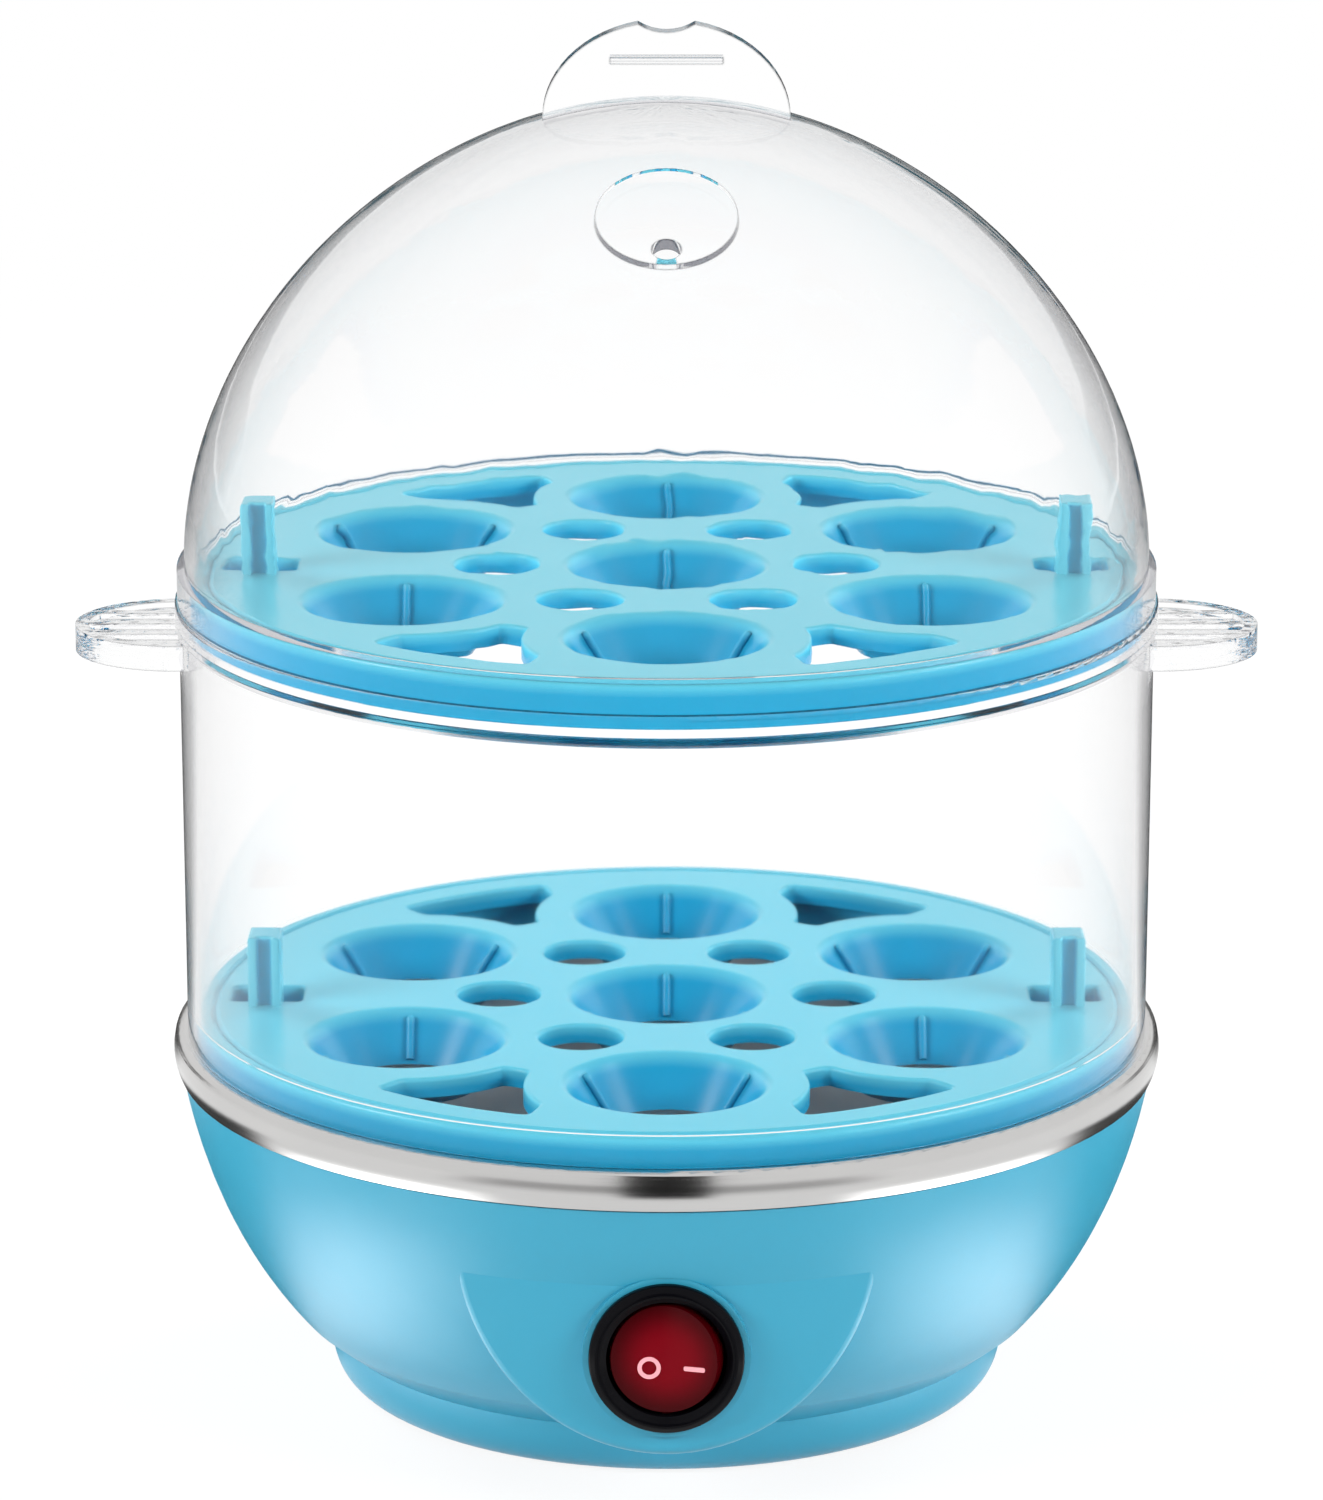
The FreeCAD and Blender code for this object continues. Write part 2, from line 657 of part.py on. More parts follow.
# Moulded housing: bowl, foot, chin, bosses and lugs
def bowl_solid():
    """Outside of the bowl and foot, filled."""
    shoulder = (shoulder_radius, SHOULDER_Z)
    waist = (BOWL_LOW_RADIUS, BOWL_LOW_Z)
    foot_edge = (FOOT_LOW_RADIUS, FOOT_LIFT)
    return turned([
        line((0, housing_collar_top), (housing_collar_radius, housing_collar_top)),
        line((housing_collar_radius, housing_collar_top), (housing_collar_radius, SHOULDER_Z)),
        line((housing_collar_radius, SHOULDER_Z), shoulder),
        curve([shoulder, (belly_radius, BELLY_Z), waist]).toShape(),
        line(waist, (FOOT_RADIUS, FOOT_Z)),
        curve([(FOOT_RADIUS, FOOT_Z), (FOOT_RADIUS, FOOT_ROUND_Z), foot_edge]).toShape(),
        line(foot_edge, (0, FOOT_LIFT)),
        line((0, FOOT_LIFT), (0, housing_collar_top)),
    ])


def bowl_hollow():
    """Inside of the bowl, from the open top to the cover's opening."""
    bore = housing_collar_radius - HOUSING_WALL
    mouth = COVER_RADIUS + COVER_PLAY
    low = (BOWL_LOW_RADIUS - HOUSING_WALL, BOWL_LOW_Z + HOUSING_WALL)
    waist = (FOOT_RADIUS - HOUSING_WALL, FOOT_Z + HOUSING_WALL / 2)
    step = (mouth, cover_top + HOUSING_WALL)
    return turned([
        line((0, housing_collar_top), (bore, housing_collar_top)),
        line((bore, housing_collar_top), (bore, SHOULDER_Z)),
        curve([(bore, SHOULDER_Z), (belly_radius - HOUSING_WALL, BELLY_Z), low]).toShape(),
        line(low, waist),
        line(waist, step),
        line(step, (mouth, FOOT_LIFT)),
        line((mouth, FOOT_LIFT), (0, FOOT_LIFT)),
        line((0, FOOT_LIFT), (0, housing_collar_top)),
    ])


def chin_solid(inset):
    """Round boss along Y whose face is a steep cone about Z."""
    low = CHIN_Z - CHIN_RADIUS
    high = SHOULDER_Z - CHIN_TOP_DROP
    face_low = chin_face - chin_slope * (CHIN_Z - low) - inset
    face_high = chin_face + chin_slope * (high - CHIN_Z) - inset
    cone = Part.makeCone(face_low, face_high, high - low, V(0, 0, low))
    return cone.common(lengthwise(CHIN_RADIUS - inset, -2 * chin_face, 0, CHIN_Z))


def chin_front_edges(chin):
    """Edges where the chin's face meets its round side."""
    top = SHOULDER_Z - CHIN_TOP_DROP
    return [edge for edge in chin.Edges
            if edge.BoundBox.YMax < -chin_face / 2 and edge.BoundBox.ZMin < top - CHIN_TOP_DROP]


def base_housing():
    chin = chin_solid(0)
    chin = chin.makeFillet(CHIN_EDGE, chin_front_edges(chin))
    seat = lengthwise(SEAT_RADIUS, -switch_seat, HOUSING_WALL - switch_seat, SWITCH_Z)
    gland_boss = lengthwise(GLAND_RADIUS + GLAND_BOSS_WALL, gland_inner_seat, gland_seat, GLAND_Z)
    solid = bowl_solid().fuse([chin])
    hollow = bowl_hollow().fuse([chin_solid(HOUSING_WALL)])
    shell = solid.cut(hollow).fuse([seat, gland_boss])
    inner = []
    boss_top = cover_top + BOSS_HEIGHT
    for angle, place in zip(SCREW_ANGLES, ring_points(SCREW_CIRCLE, SCREW_ANGLES)):
        inner.append(upright(SCREW_RADIUS + BOSS_WALL, cover_top, boss_top, place))
        rib_start = V(SCREW_CIRCLE, -BOSS_RIB / 2, cover_top)
        rib = Part.makeBox(BOWL_LOW_RADIUS - SCREW_CIRCLE, BOSS_RIB, BOSS_HEIGHT, rib_start)
        inner.append(rib.rotated(ORIGIN, UP, angle))
    lug_start = bar_half_length - BAR_HOLD
    lug_length = shoulder_radius - lug_start
    lug = Part.makeBox(lug_length, LUG_WIDTH, LUG_HEIGHT, V(lug_start, -LUG_WIDTH / 2, bar_top))
    inner += [lug, lug.mirror(ORIGIN, RIGHT)]
    shell = shell.fuse([piece.common(solid) for piece in inner])
    barrel_hole = BARREL_RADIUS + BARREL_PLAY
    holes = [lengthwise(barrel_hole, -switch_seat, BARREL_DEPTH - switch_seat, SWITCH_Z)]
    holes.append(lengthwise(SEAT_RADIUS, -switch_seat - BEZEL_THICK, -switch_seat, SWITCH_Z))
    holes.append(lengthwise(GLAND_RADIUS + GLAND_PLAY, gland_inner_seat, gland_seat, GLAND_Z))
    holes.append(lengthwise(GLAND_FLANGE_RADIUS + GLAND_PLAY, gland_seat, shoulder_radius, GLAND_Z))
    pilot_top = COVER_Z + SCREW_LENGTH + SCREW_PLAY
    for place in ring_points(SCREW_CIRCLE, SCREW_ANGLES):
        holes.append(upright(SCREW_RADIUS + SCREW_PLAY, FOOT_LIFT, pilot_top, place))
    return shell.cut(holes).removeSplitter()


# Underside: cover, screws and feet
def screw_solid(play):
    """Countersunk screw pointing up from the cover's lower face, at the origin."""
    head = Part.makeCone(SCREW_HEAD_RADIUS + play, SCREW_RADIUS + play, SCREW_HEAD_HEIGHT, V(0, 0, COVER_Z))
    return head.fuse(upright(SCREW_RADIUS + play, COVER_Z, COVER_Z + SCREW_LENGTH)).removeSplitter()


def foot_places():
    return ring_points(FOOT_PAD_CIRCLE, range(45, 405, 90))


def bottom_cover():
    disc = upright(COVER_RADIUS, COVER_Z, cover_top)
    cuts = [screw_solid(SCREW_PLAY).translated(place) for place in ring_points(SCREW_CIRCLE, SCREW_ANGLES)]
    cuts += [upright(FOOT_STEM_RADIUS + STEM_PLAY, COVER_Z, cover_top, place) for place in foot_places()]
    louvre_length = LOUVRE_OUTER - LOUVRE_INNER
    louvre_start = V(LOUVRE_INNER, -LOUVRE_WIDTH / 2, COVER_Z)
    louvre = Part.makeBox(louvre_length, LOUVRE_WIDTH, COVER_THICK, louvre_start)
    for index in range(LOUVRE_COUNT):
        cuts.append(louvre.rotated(ORIGIN, UP, index * 360 / LOUVRE_COUNT))
    return disc.cut(cuts)


def rubber_foot():
    pad = upright(FOOT_PAD_RADIUS, 0, COVER_Z)
    stem = upright(FOOT_STEM_RADIUS, 0, cover_top)
    bulb = upright(FOOT_BULB_RADIUS, cover_top, cover_top + FOOT_BULB_HEIGHT)
    return pad.fuse([stem, bulb]).removeSplitter()


# Heater and what holds the pan down
def heater_plate():
    plate = upright(PLATE_RADIUS, plate_under, pan_under)
    return plate.cut(Part.makeTorus(TUBE_CIRCLE, TUBE_RADIUS + TUBE_PLAY, V(0, 0, plate_under)))


def heater_tube():
    sweep = 360 - TUBE_OPEN
    tube = Part.makeTorus(TUBE_CIRCLE, TUBE_RADIUS, V(0, 0, plate_under), UP, -180, 180, sweep)
    tube = tube.rotated(ORIGIN, UP, 90 + TUBE_OPEN / 2)
    ends = [V(side * pin_x, pin_y, plate_under) for side in (1, -1)]
    caps = [Part.makeSphere(TUBE_RADIUS, end) for end in ends]
    pins = [upright(PIN_RADIUS, pin_end, plate_under, end) for end in ends]
    return tube.fuse(caps + pins).removeSplitter()


def pan_stud():
    return upright(STUD_RADIUS, BAR_Z - NUT_HEIGHT - STUD_TAIL, plate_under)


def retaining_bar():
    straight = 2 * bar_half_length - BAR_WIDTH
    bar = block(straight, BAR_WIDTH, BAR_THICK, 0, 0, BAR_Z)
    ends = [upright(BAR_WIDTH / 2, BAR_Z, bar_top, V(side * straight / 2, 0, 0)) for side in (1, -1)]
    return bar.fuse(ends).cut(upright(STUD_RADIUS + STUD_PLAY, BAR_Z, bar_top)).removeSplitter()


def pan_nut():
    low = BAR_Z - NUT_HEIGHT
    flange = upright(NUT_FLANGE_RADIUS, BAR_Z - NUT_FLANGE, BAR_Z)
    nut = hexagon(NUT_ACROSS, low, NUT_HEIGHT).fuse(flange)
    return nut.cut(upright(STUD_RADIUS + STUD_PLAY, low, BAR_Z))


def thermostat():
    place = V(0, -STAT_OFFSET, 0)
    low = plate_under - STAT_HEIGHT
    body = upright(STAT_RADIUS, low + STAT_RIM, plate_under, place)
    base = upright(STAT_RADIUS - STAT_RIM, low, low + STAT_RIM, place)
    tab = block(2 * (STAT_RADIUS + TAB_LENGTH), TAB_WIDTH, TAB_THICK, 0, -STAT_OFFSET, low + STAT_RIM)
    return body.fuse([base, tab]).removeSplitter()


def thermal_fuse():
    place = V(-pin_x, pin_y, 0)
    top = pin_end - FUSE_LEG
    body = upright(FUSE_RADIUS, top - FUSE_LENGTH, top, place)
    legs = upright(FUSE_LEG_RADIUS, top - FUSE_LENGTH - FUSE_LEG, pin_end, place)
    return body.fuse(legs).removeSplitter()


# Rocker switch
def switch_housing():
    """Cup with a rounded bezel; made pointing up, then turned to the front."""
    front = BEZEL_THICK
    lip = (BEZEL_RADIUS + WELL_RADIUS) / 2
    rounding = BEZEL_THICK / 3
    cup = turned(outline([
        (WELL_RADIUS, BARREL_WALL - BARREL_DEPTH),
        (WELL_RADIUS, front / 2),
        (lip, front, rounding),
        (BEZEL_RADIUS, front / 2, rounding),
        (BEZEL_RADIUS, 0),
        (BARREL_RADIUS, 0),
        (BARREL_RADIUS, -BARREL_DEPTH),
        (0, -BARREL_DEPTH),
        (0, BARREL_WALL - BARREL_DEPTH),
    ]))
    placed = facing_front(cup, switch_seat, SWITCH_Z)
    pivot = V(0, ROCKER_PIVOT - switch_seat, 0)
    low = SWITCH_Z - BARREL_RADIUS
    high = SWITCH_Z + BARREL_RADIUS
    return placed.cut(upright(TRUNNION_RADIUS + TRUNNION_PLAY, low, high, pivot))


def switch_rocker():
    """Ball zone with a dished face on two upright trunnions, tipped to its off side."""
    ball = Part.makeSphere(rocker_radius)
    depth = rocker_radius + ROCKER_BACK
    width = 4 * rocker_radius
    slab = block(width, depth, width, 0, depth / 2 - rocker_radius, -width / 2)
    dish = upright(ROCKER_DISH, -rocker_radius, rocker_radius, V(0, -ROCKER_FACE - ROCKER_DISH, 0))
    half_span = BARREL_RADIUS - TRUNNION_END_GAP
    axle = upright(TRUNNION_RADIUS, -half_span, half_span)
    rocker = ball.common(slab).cut(dish).fuse(axle).removeSplitter()
    tipped = rocker.rotated(ORIGIN, UP, -ROCKER_TILT)
    return tipped.translated(V(0, ROCKER_PIVOT - switch_seat, SWITCH_Z))


def switch_terminals():
    middle_y = tab_tip_y - TAB_LENGTH / 2
    low = SWITCH_Z - TAB_WIDTH / 2
    tabs = []
    for way in (-1, 0, 1):
        tabs.append(block(TAB_THICK, TAB_LENGTH, TAB_WIDTH, way * SWITCH_TAB_PITCH, middle_y, low))
    return Part.makeCompound(tabs)


def neon_lamp():
    back_wall = BARREL_DEPTH - BARREL_WALL - switch_seat
    y = back_wall - LAMP_RADIUS
    straight = LAMP_LENGTH - 2 * LAMP_RADIUS
    ends = [Part.makeSphere(LAMP_RADIUS, V(side * straight / 2, y, SWITCH_Z)) for side in (1, -1)]
    return crosswise(LAMP_RADIUS, straight, y, SWITCH_Z).fuse(ends).removeSplitter()


# Cord entry
def cord_gland():
    flange = lengthwise(GLAND_FLANGE_RADIUS, gland_seat, gland_seat + GLAND_FLANGE, GLAND_Z)
    outer_edge = [edge for edge in flange.Edges if edge.BoundBox.YMin > gland_seat + GLAND_FLANGE / 2]
    flange = flange.makeFillet(GLAND_FLANGE / 2, outer_edge)
    sleeve = lengthwise(GLAND_RADIUS, gland_inner_seat - GLAND_TAIL, gland_seat, GLAND_Z)
    bore = lengthwise(GLAND_BORE, gland_inner_seat - GLAND_TAIL, gland_seat + GLAND_FLANGE, GLAND_Z)
    return flange.fuse(sleeve).cut(bore).removeSplitter()


def gland_nut():
    nut = hexagon(GLAND_NUT_ACROSS, 0, GLAND_NUT)
    nut = nut.cut(upright(GLAND_RADIUS + GLAND_PLAY, 0, GLAND_NUT))
    return facing_front(nut, -gland_inner_seat, GLAND_Z)


# Wiring
def terminal_block():
    body = block(BLOCK_LENGTH, BLOCK_WIDTH, BLOCK_HEIGHT, 0, BLOCK_Y, cover_top)
    top = cover_top + BLOCK_HEIGHT
    well_low = top - BLOCK_HEIGHT / 3
    ways = [V(way * BLOCK_PITCH, BLOCK_Y, 0) for way in (-1, 0, 1)]
    return body.cut([upright(BLOCK_SCREW_RADIUS, well_low, top, way) for way in ways])


def leads():
    """The five inner leads, each from terminal to terminal."""
    stat_tab = STAT_RADIUS + TAB_LENGTH
    stat_z = plate_under - STAT_HEIGHT + STAT_RIM + TAB_THICK / 2
    fuse_end = pin_end - 2 * FUSE_LEG - FUSE_LENGTH
    bar_edge = BAR_WIDTH / 2
    bar_z = BAR_Z + BAR_THICK / 2
    live_start = (BLOCK_PITCH, block_front, block_way_z)
    live_turn = (BLOCK_PITCH, block_front - LEAD_RUN, block_way_z)
    live_end = (SWITCH_TAB_PITCH, tab_tip_y, SWITCH_Z)
    live_before = (SWITCH_TAB_PITCH, tab_tip_y + LEAD_RUN, SWITCH_Z)
    switched_start = (-SWITCH_TAB_PITCH, tab_tip_y, SWITCH_Z)
    switched_turn = (-SWITCH_TAB_PITCH, tab_tip_y + LEAD_RUN, SWITCH_Z)
    switched_before = (-stat_tab - LEAD_SHORT_RUN, -STAT_OFFSET, stat_z)
    switched_end = (-stat_tab, -STAT_OFFSET, stat_z)
    heater_start = (stat_tab, -STAT_OFFSET, stat_z)
    heater_turn = (stat_tab + LEAD_SHORT_RUN, -STAT_OFFSET, stat_z)
    heater_low = pin_end - HEATER_DIP
    heater_before = (pin_x, pin_y - LEAD_RUN, heater_low)
    neutral_turn = (-pin_x, pin_y, block_way_z)
    neutral_before = (-BLOCK_PITCH, block_front - LEAD_SHORT_RUN, block_way_z)
    earth_turn = (0, block_front - LEAD_RUN, block_way_z)
    earth_before = (0, bar_edge + LEAD_SHORT_RUN, bar_z)
    return {
        "live_lead": lead([live_start, live_turn, *LIVE_WAY, live_before, live_end]),
        "switched_lead": lead([
            switched_start,
            switched_turn,
            SWITCHED_WAY,
            (*SWITCHED_DROP, stat_z),
            switched_before,
            switched_end,
        ]),
        "heater_lead": lead([
            heater_start,
            heater_turn,
            HEATER_WAY,
            heater_before,
            (pin_x, pin_y, heater_low),
            (pin_x, pin_y, pin_end),
        ]),
        "neutral_lead": lead([
            (-pin_x, pin_y, fuse_end),
            neutral_turn,
            neutral_before,
            (-BLOCK_PITCH, block_front, block_way_z),
        ]),
        "earth_lead": lead([
            (0, block_front, block_way_z),
            earth_turn,
            EARTH_WAY,
            earth_before,
            (0, bar_edge, bar_z),
        ]),
    }


os.makedirs("parts", exist_ok=True)
save("base_housing", base_housing())
save("heating_pan", heating_pan())
save("pan_gasket", pan_gasket())
save("bottom_cover", bottom_cover())
feet = [rubber_foot().translated(place) for place in foot_places()]
save("rubber_feet", Part.makeCompound(feet))
screws = [screw_solid(0).translated(place) for place in ring_points(SCREW_CIRCLE, SCREW_ANGLES)]
save("cover_screws", Part.makeCompound(screws))
save("heater_plate", heater_plate())
save("heater_tube", heater_tube())
save("pan_stud", pan_stud())
save("retaining_bar", retaining_bar())
save("pan_nut", pan_nut())
save("thermostat", thermostat())
save("thermal_fuse", thermal_fuse())
save("switch_housing", switch_housing())
save("switch_rocker", switch_rocker())
save("switch_terminals", switch_terminals())
save("neon_lamp", neon_lamp())
save("cord_gland", cord_gland())
save("gland_nut", gland_nut())
save("terminal_block", terminal_block())
for lead_name, lead_shape in leads().items():
    save(lead_name, lead_shape)
save("lower_egg_tray", egg_tray(low_tray_top))
save("steam_ring", steam_ring())
save("upper_egg_tray", egg_tray(high_tray_top))
save("dome_lid", dome_lid())
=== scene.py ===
"""Looks of a two-tier electric egg cooker, laid out as an add-on and run as a script."""
import math
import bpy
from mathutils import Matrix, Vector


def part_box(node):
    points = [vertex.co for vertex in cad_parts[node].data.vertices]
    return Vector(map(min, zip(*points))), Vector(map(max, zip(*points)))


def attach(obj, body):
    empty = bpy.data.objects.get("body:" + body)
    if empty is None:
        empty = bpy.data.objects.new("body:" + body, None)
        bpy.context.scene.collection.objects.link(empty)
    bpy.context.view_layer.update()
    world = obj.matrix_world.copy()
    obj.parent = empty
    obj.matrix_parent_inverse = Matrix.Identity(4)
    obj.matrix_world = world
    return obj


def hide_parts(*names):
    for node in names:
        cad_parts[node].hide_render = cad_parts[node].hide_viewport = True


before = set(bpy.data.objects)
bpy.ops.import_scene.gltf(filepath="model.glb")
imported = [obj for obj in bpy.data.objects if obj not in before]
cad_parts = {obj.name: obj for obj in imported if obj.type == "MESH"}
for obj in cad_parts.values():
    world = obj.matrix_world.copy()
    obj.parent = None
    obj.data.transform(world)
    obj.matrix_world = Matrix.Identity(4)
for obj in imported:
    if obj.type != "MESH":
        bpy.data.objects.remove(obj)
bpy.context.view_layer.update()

from types import SimpleNamespace

import bmesh
import bpy
from mathutils import Matrix, Vector

bl_info = {
    "name": "Egg cooker",
    "version": (1, 0, 0),
    "blender": (4, 5, 0),
    "location": "View3D > Sidebar > Egg cooker",
    "description": "Dresses the packed egg cooker: trays, clear covers, steel pan, blue base and switch",
    "category": "Object",
}

MM = 0.001
GLOSSED = "glossed"        # collection of the pieces that show the glint lamps
WELD = 0.002 * MM          # points closer than this become one
CREASE = math.radians(32)  # edges that bend more than this stay sharp
NOISE_ROUGHNESS = 0.55


# Property helpers
def length(name, description, millimetres):
    """A size in metres that the sidebar shows as a distance."""
    return bpy.props.FloatProperty(
        name=name, description=description, default=millimetres * MM,
        min=0.0, precision=5, subtype="DISTANCE", unit="LENGTH")


def angle(name, description, degrees):
    return bpy.props.FloatProperty(
        name=name, description=description, default=math.radians(degrees),
        subtype="ANGLE", unit="ROTATION")


def count(name, description, default):
    return bpy.props.IntProperty(name=name, description=description, default=default, min=1)


def share(name, description, default):
    return bpy.props.FloatProperty(
        name=name, description=description, default=default, min=0.0, max=1.0, subtype="FACTOR")


def power(name, description, default):
    return bpy.props.FloatProperty(
        name=name, description=description, default=default, min=0.0, subtype="POWER", unit="POWER")


def linear(value):
    """One sRGB channel, 0 to 255, as scene-linear light."""
    part = value / 255
    return part / 12.92 if part <= 0.04045 else ((part + 0.055) / 1.055) ** 2.4


def colour(name, description, red, green, blue):
    """A colour given as it shows on a screen, 0 to 255."""
    return bpy.props.FloatVectorProperty(
        name=name, description=description, size=3, min=0.0, max=1.0, subtype="COLOR",
        default=(linear(red), linear(green), linear(blue)))


class TraySizes(bpy.types.PropertyGroup):
    """Sizes of one egg tray; both trays are alike."""

    radius: length("Radius", "Outer radius of a tray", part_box("lower_egg_tray")[1].x / MM)
    plate: length("Plate", "Thickness of the plate", 3.0)
    skirt: length("Skirt", "Height of the edge", 6.6)
    skirt_wall: length("Skirt wall", "Wall of the edge under the plate", 2.0)
    edge_round: length("Edge rounding", "Rounding of the outer edge", 1.2)
    groove_inset: length("Groove inset", "Ring groove inside the edge", 2.8)
    groove_half: length("Groove half width", "Half the width of the ring groove", 0.7)
    groove_depth: length("Groove depth", "Depth of the ring groove", 0.45)
    locator_outer: length("Locator radius", "Outside of the locating ring underneath", 67.8)
    locator_wall: length("Locator wall", "Wall of the locating ring", 1.6)
    locator_drop: length("Locator drop", "Lower edge of the locating ring under the top", 7.5)
    egg_count: count("Eggs in the ring", "Cups round the middle one", 6)
    egg_circle: length("Egg circle", "Radius of the ring of cups", 45.5)
    cup_radius: length("Cup radius", "Radius of a cup at its top", 15.2)
    cup_low: length("Cup low radius", "Radius of the hole at the bottom of a cup", 9.6)
    cup_depth: length("Cup depth", "Depth of a cup", 7.4)
    cup_lip: length("Cup lip", "Rounding round the top of a cup", 0.8)
    cup_wall: length("Cup wall", "Wall of a cup", 1.4)
    rib_radius: length("Rib radius", "Radius of an upright rib in a cup", 0.65)
    rib_count: count("Ribs in a cup", "Upright ribs in each cup", 3)
    vent_circle: length("Vent circle", "Radius of the ring of round vents", 26.0)
    vent_radius: length("Vent radius", "Radius of a round vent", 6.4)
    hole_round: length("Hole rounding", "Rounding round vents and slots", 0.7)
    fan_inner: length("Fan inner", "Inner side of a fan vent", 44.8)
    fan_outer: length("Fan outer", "Outer side of a fan vent", 64.2)
    fan_half_angle: angle("Fan half angle", "Half the angle that a fan vent takes up", 11.6)
    fan_clear: length("Fan clearance", "Distance of its sides from the cups beside it", 21.3)
    post_circle: length("Post circle", "Distance of a lifting post from the middle", 62.0)
    post_width: length("Post width", "Width of a lifting post", 5.0)
    post_depth: length("Post depth", "Depth of a lifting post", 6.6)
    post_height: length("Post height", "Height of a lifting post above the plate", 11.0)
    channel_width: length("Channel width", "Groove down the front of a post", 2.2)
    channel_depth: length("Channel depth", "Depth of that groove", 1.1)
    slot_width: length("Slot width", "Width of the slot behind a post", 11.0)
    slot_depth: length("Slot depth", "Depth of the slot behind a post", 8.0)


class DetailSizes(bpy.types.PropertyGroup):
    """Sizes of the small pieces."""

    seat: length("Switch seat", "Front of the switch's seat from the middle", 72.39936)
    switch_z: length("Switch height", "Middle of the switch above the table", 26.7)
    pivot_depth: length("Rocker pivot", "Rocker's pivot behind the seat", 1.7)
    rocker_face: length("Rocker face", "Rocker's face in front of its pivot", 2.4)
    rocker_dish: length("Rocker dish", "Radius of the rocker's dished face", 30.0)
    rocker_tilt: angle("Rocker tilt", "Tilt of the rocker at rest", 6.0)
    mark_rise: length("Mark rise", "Marks stand proud of the rocker by this", 0.12)
    ring_radius: length("Off mark radius", "Middle of the round mark's stroke", 1.4)
    ring_stroke: length("Off mark stroke", "Width of the round mark's stroke", 0.62)
    dash_length: length("On mark length", "Length of the dash", 3.2)
    dash_width: length("On mark width", "Width of the dash", 0.7)
    foot_circle: length("Foot circle", "Distance of a rubber foot from the middle", 38.0)
    foot_radius: length("Foot radius", "Radius of a rubber foot", 4.5)
    foot_height: length("Foot height", "Height of a foot under the cover", 1.2)
    screw_circle: length("Screw circle", "Distance of a cover screw from the middle", 43.0)
    screw_head: length("Screw head", "Radius of a screw head", 2.8)
    screw_shank: length("Screw shank", "Radius of a screw", 1.4)
    screw_length: length("Screw length", "Length of a screw", 9.0)
    cover_z: length("Cover height", "Lower face of the bottom cover", 1.2)


class Finishes(bpy.types.PropertyGroup):
    """Colours of the object."""

    tray_blue: colour("Tray blue", "Moulded egg trays", 92, 183, 200)
    # Painted shade: the inside of the cups, vents and post channels is darkened towards this colour, which is
    # also the dark end of the trays' random flow tones
    tray_shade_and_tone: colour("Tray depths", "Inside of the cups and vents", 0, 134, 176)
    housing_blue: colour("Housing blue", "Moulded base", 42, 142, 170)
    clear: colour("Clear plastic", "Dome and steam ring", 255, 255, 255)
    # Painted shade: the grey that clear plastic is painted where it turns away from the view and along its
    # edges
    clear_edge_shade: colour("Clear edge", "Edge-on look of the clear plastic", 56, 58, 62)
    steel: colour("Steel", "Heating pan", 206, 205, 204)
    switch_black: colour("Switch black", "Bezel of the switch", 6, 6, 9)
    rocker_red: colour("Rocker red", "Rocker of the switch", 110, 0, 14)
    mark: colour("Marks", "Marks on the rocker", 238, 156, 164)
    rubber: colour("Rubber", "Feet and gasket", 46, 46, 48)


class StageSettings(bpy.types.PropertyGroup):
    """Light and background."""

    ambient: share("Ambient", "World light on the object", 0.22)
    floor: share("Floor", "Shade of the floor", 0.94)
    floor_glow: share("Floor glow", "Share of the floor's own white", 0.88)
    side_power: power("Side lamps", "Each of the two softboxes beside the camera", 8.2)
    rear_power: power("Rear lamps", "Each of the two softboxes behind the object", 7.8)
    top_power: power("Top lamp", "The softbox overhead", 0.4)
    glint_power: power("Glint lamps", "Each of the two small lamps whose gloss only the trays show", 5.0)
    bounce: bpy.props.FloatProperty(
        name="Bounce", description="Brightness of the lit cards on the floor, as the base mirrors them",
        default=5.0, min=0.0)


# Node building
class Number:
    """A number in a node tree; what is reckoned with it becomes Math nodes."""

    def __init__(self, bench, socket):
        self.bench = bench
        self.socket = socket

    def __add__(self, other):
        return self.bench.math("ADD", self, other)

    def __radd__(self, other):
        return self.bench.math("ADD", other, self)

    def __sub__(self, other):
        return self.bench.math("SUBTRACT", self, other)

    def __rsub__(self, other):
        return self.bench.math("SUBTRACT", other, self)

    def __mul__(self, other):
        return self.bench.math("MULTIPLY", self, other)

    def __truediv__(self, other):
        return self.bench.math("DIVIDE", self, other)

    def __rtruediv__(self, other):
        return self.bench.math("DIVIDE", other, self)

    def __neg__(self):
        return self * -1.0


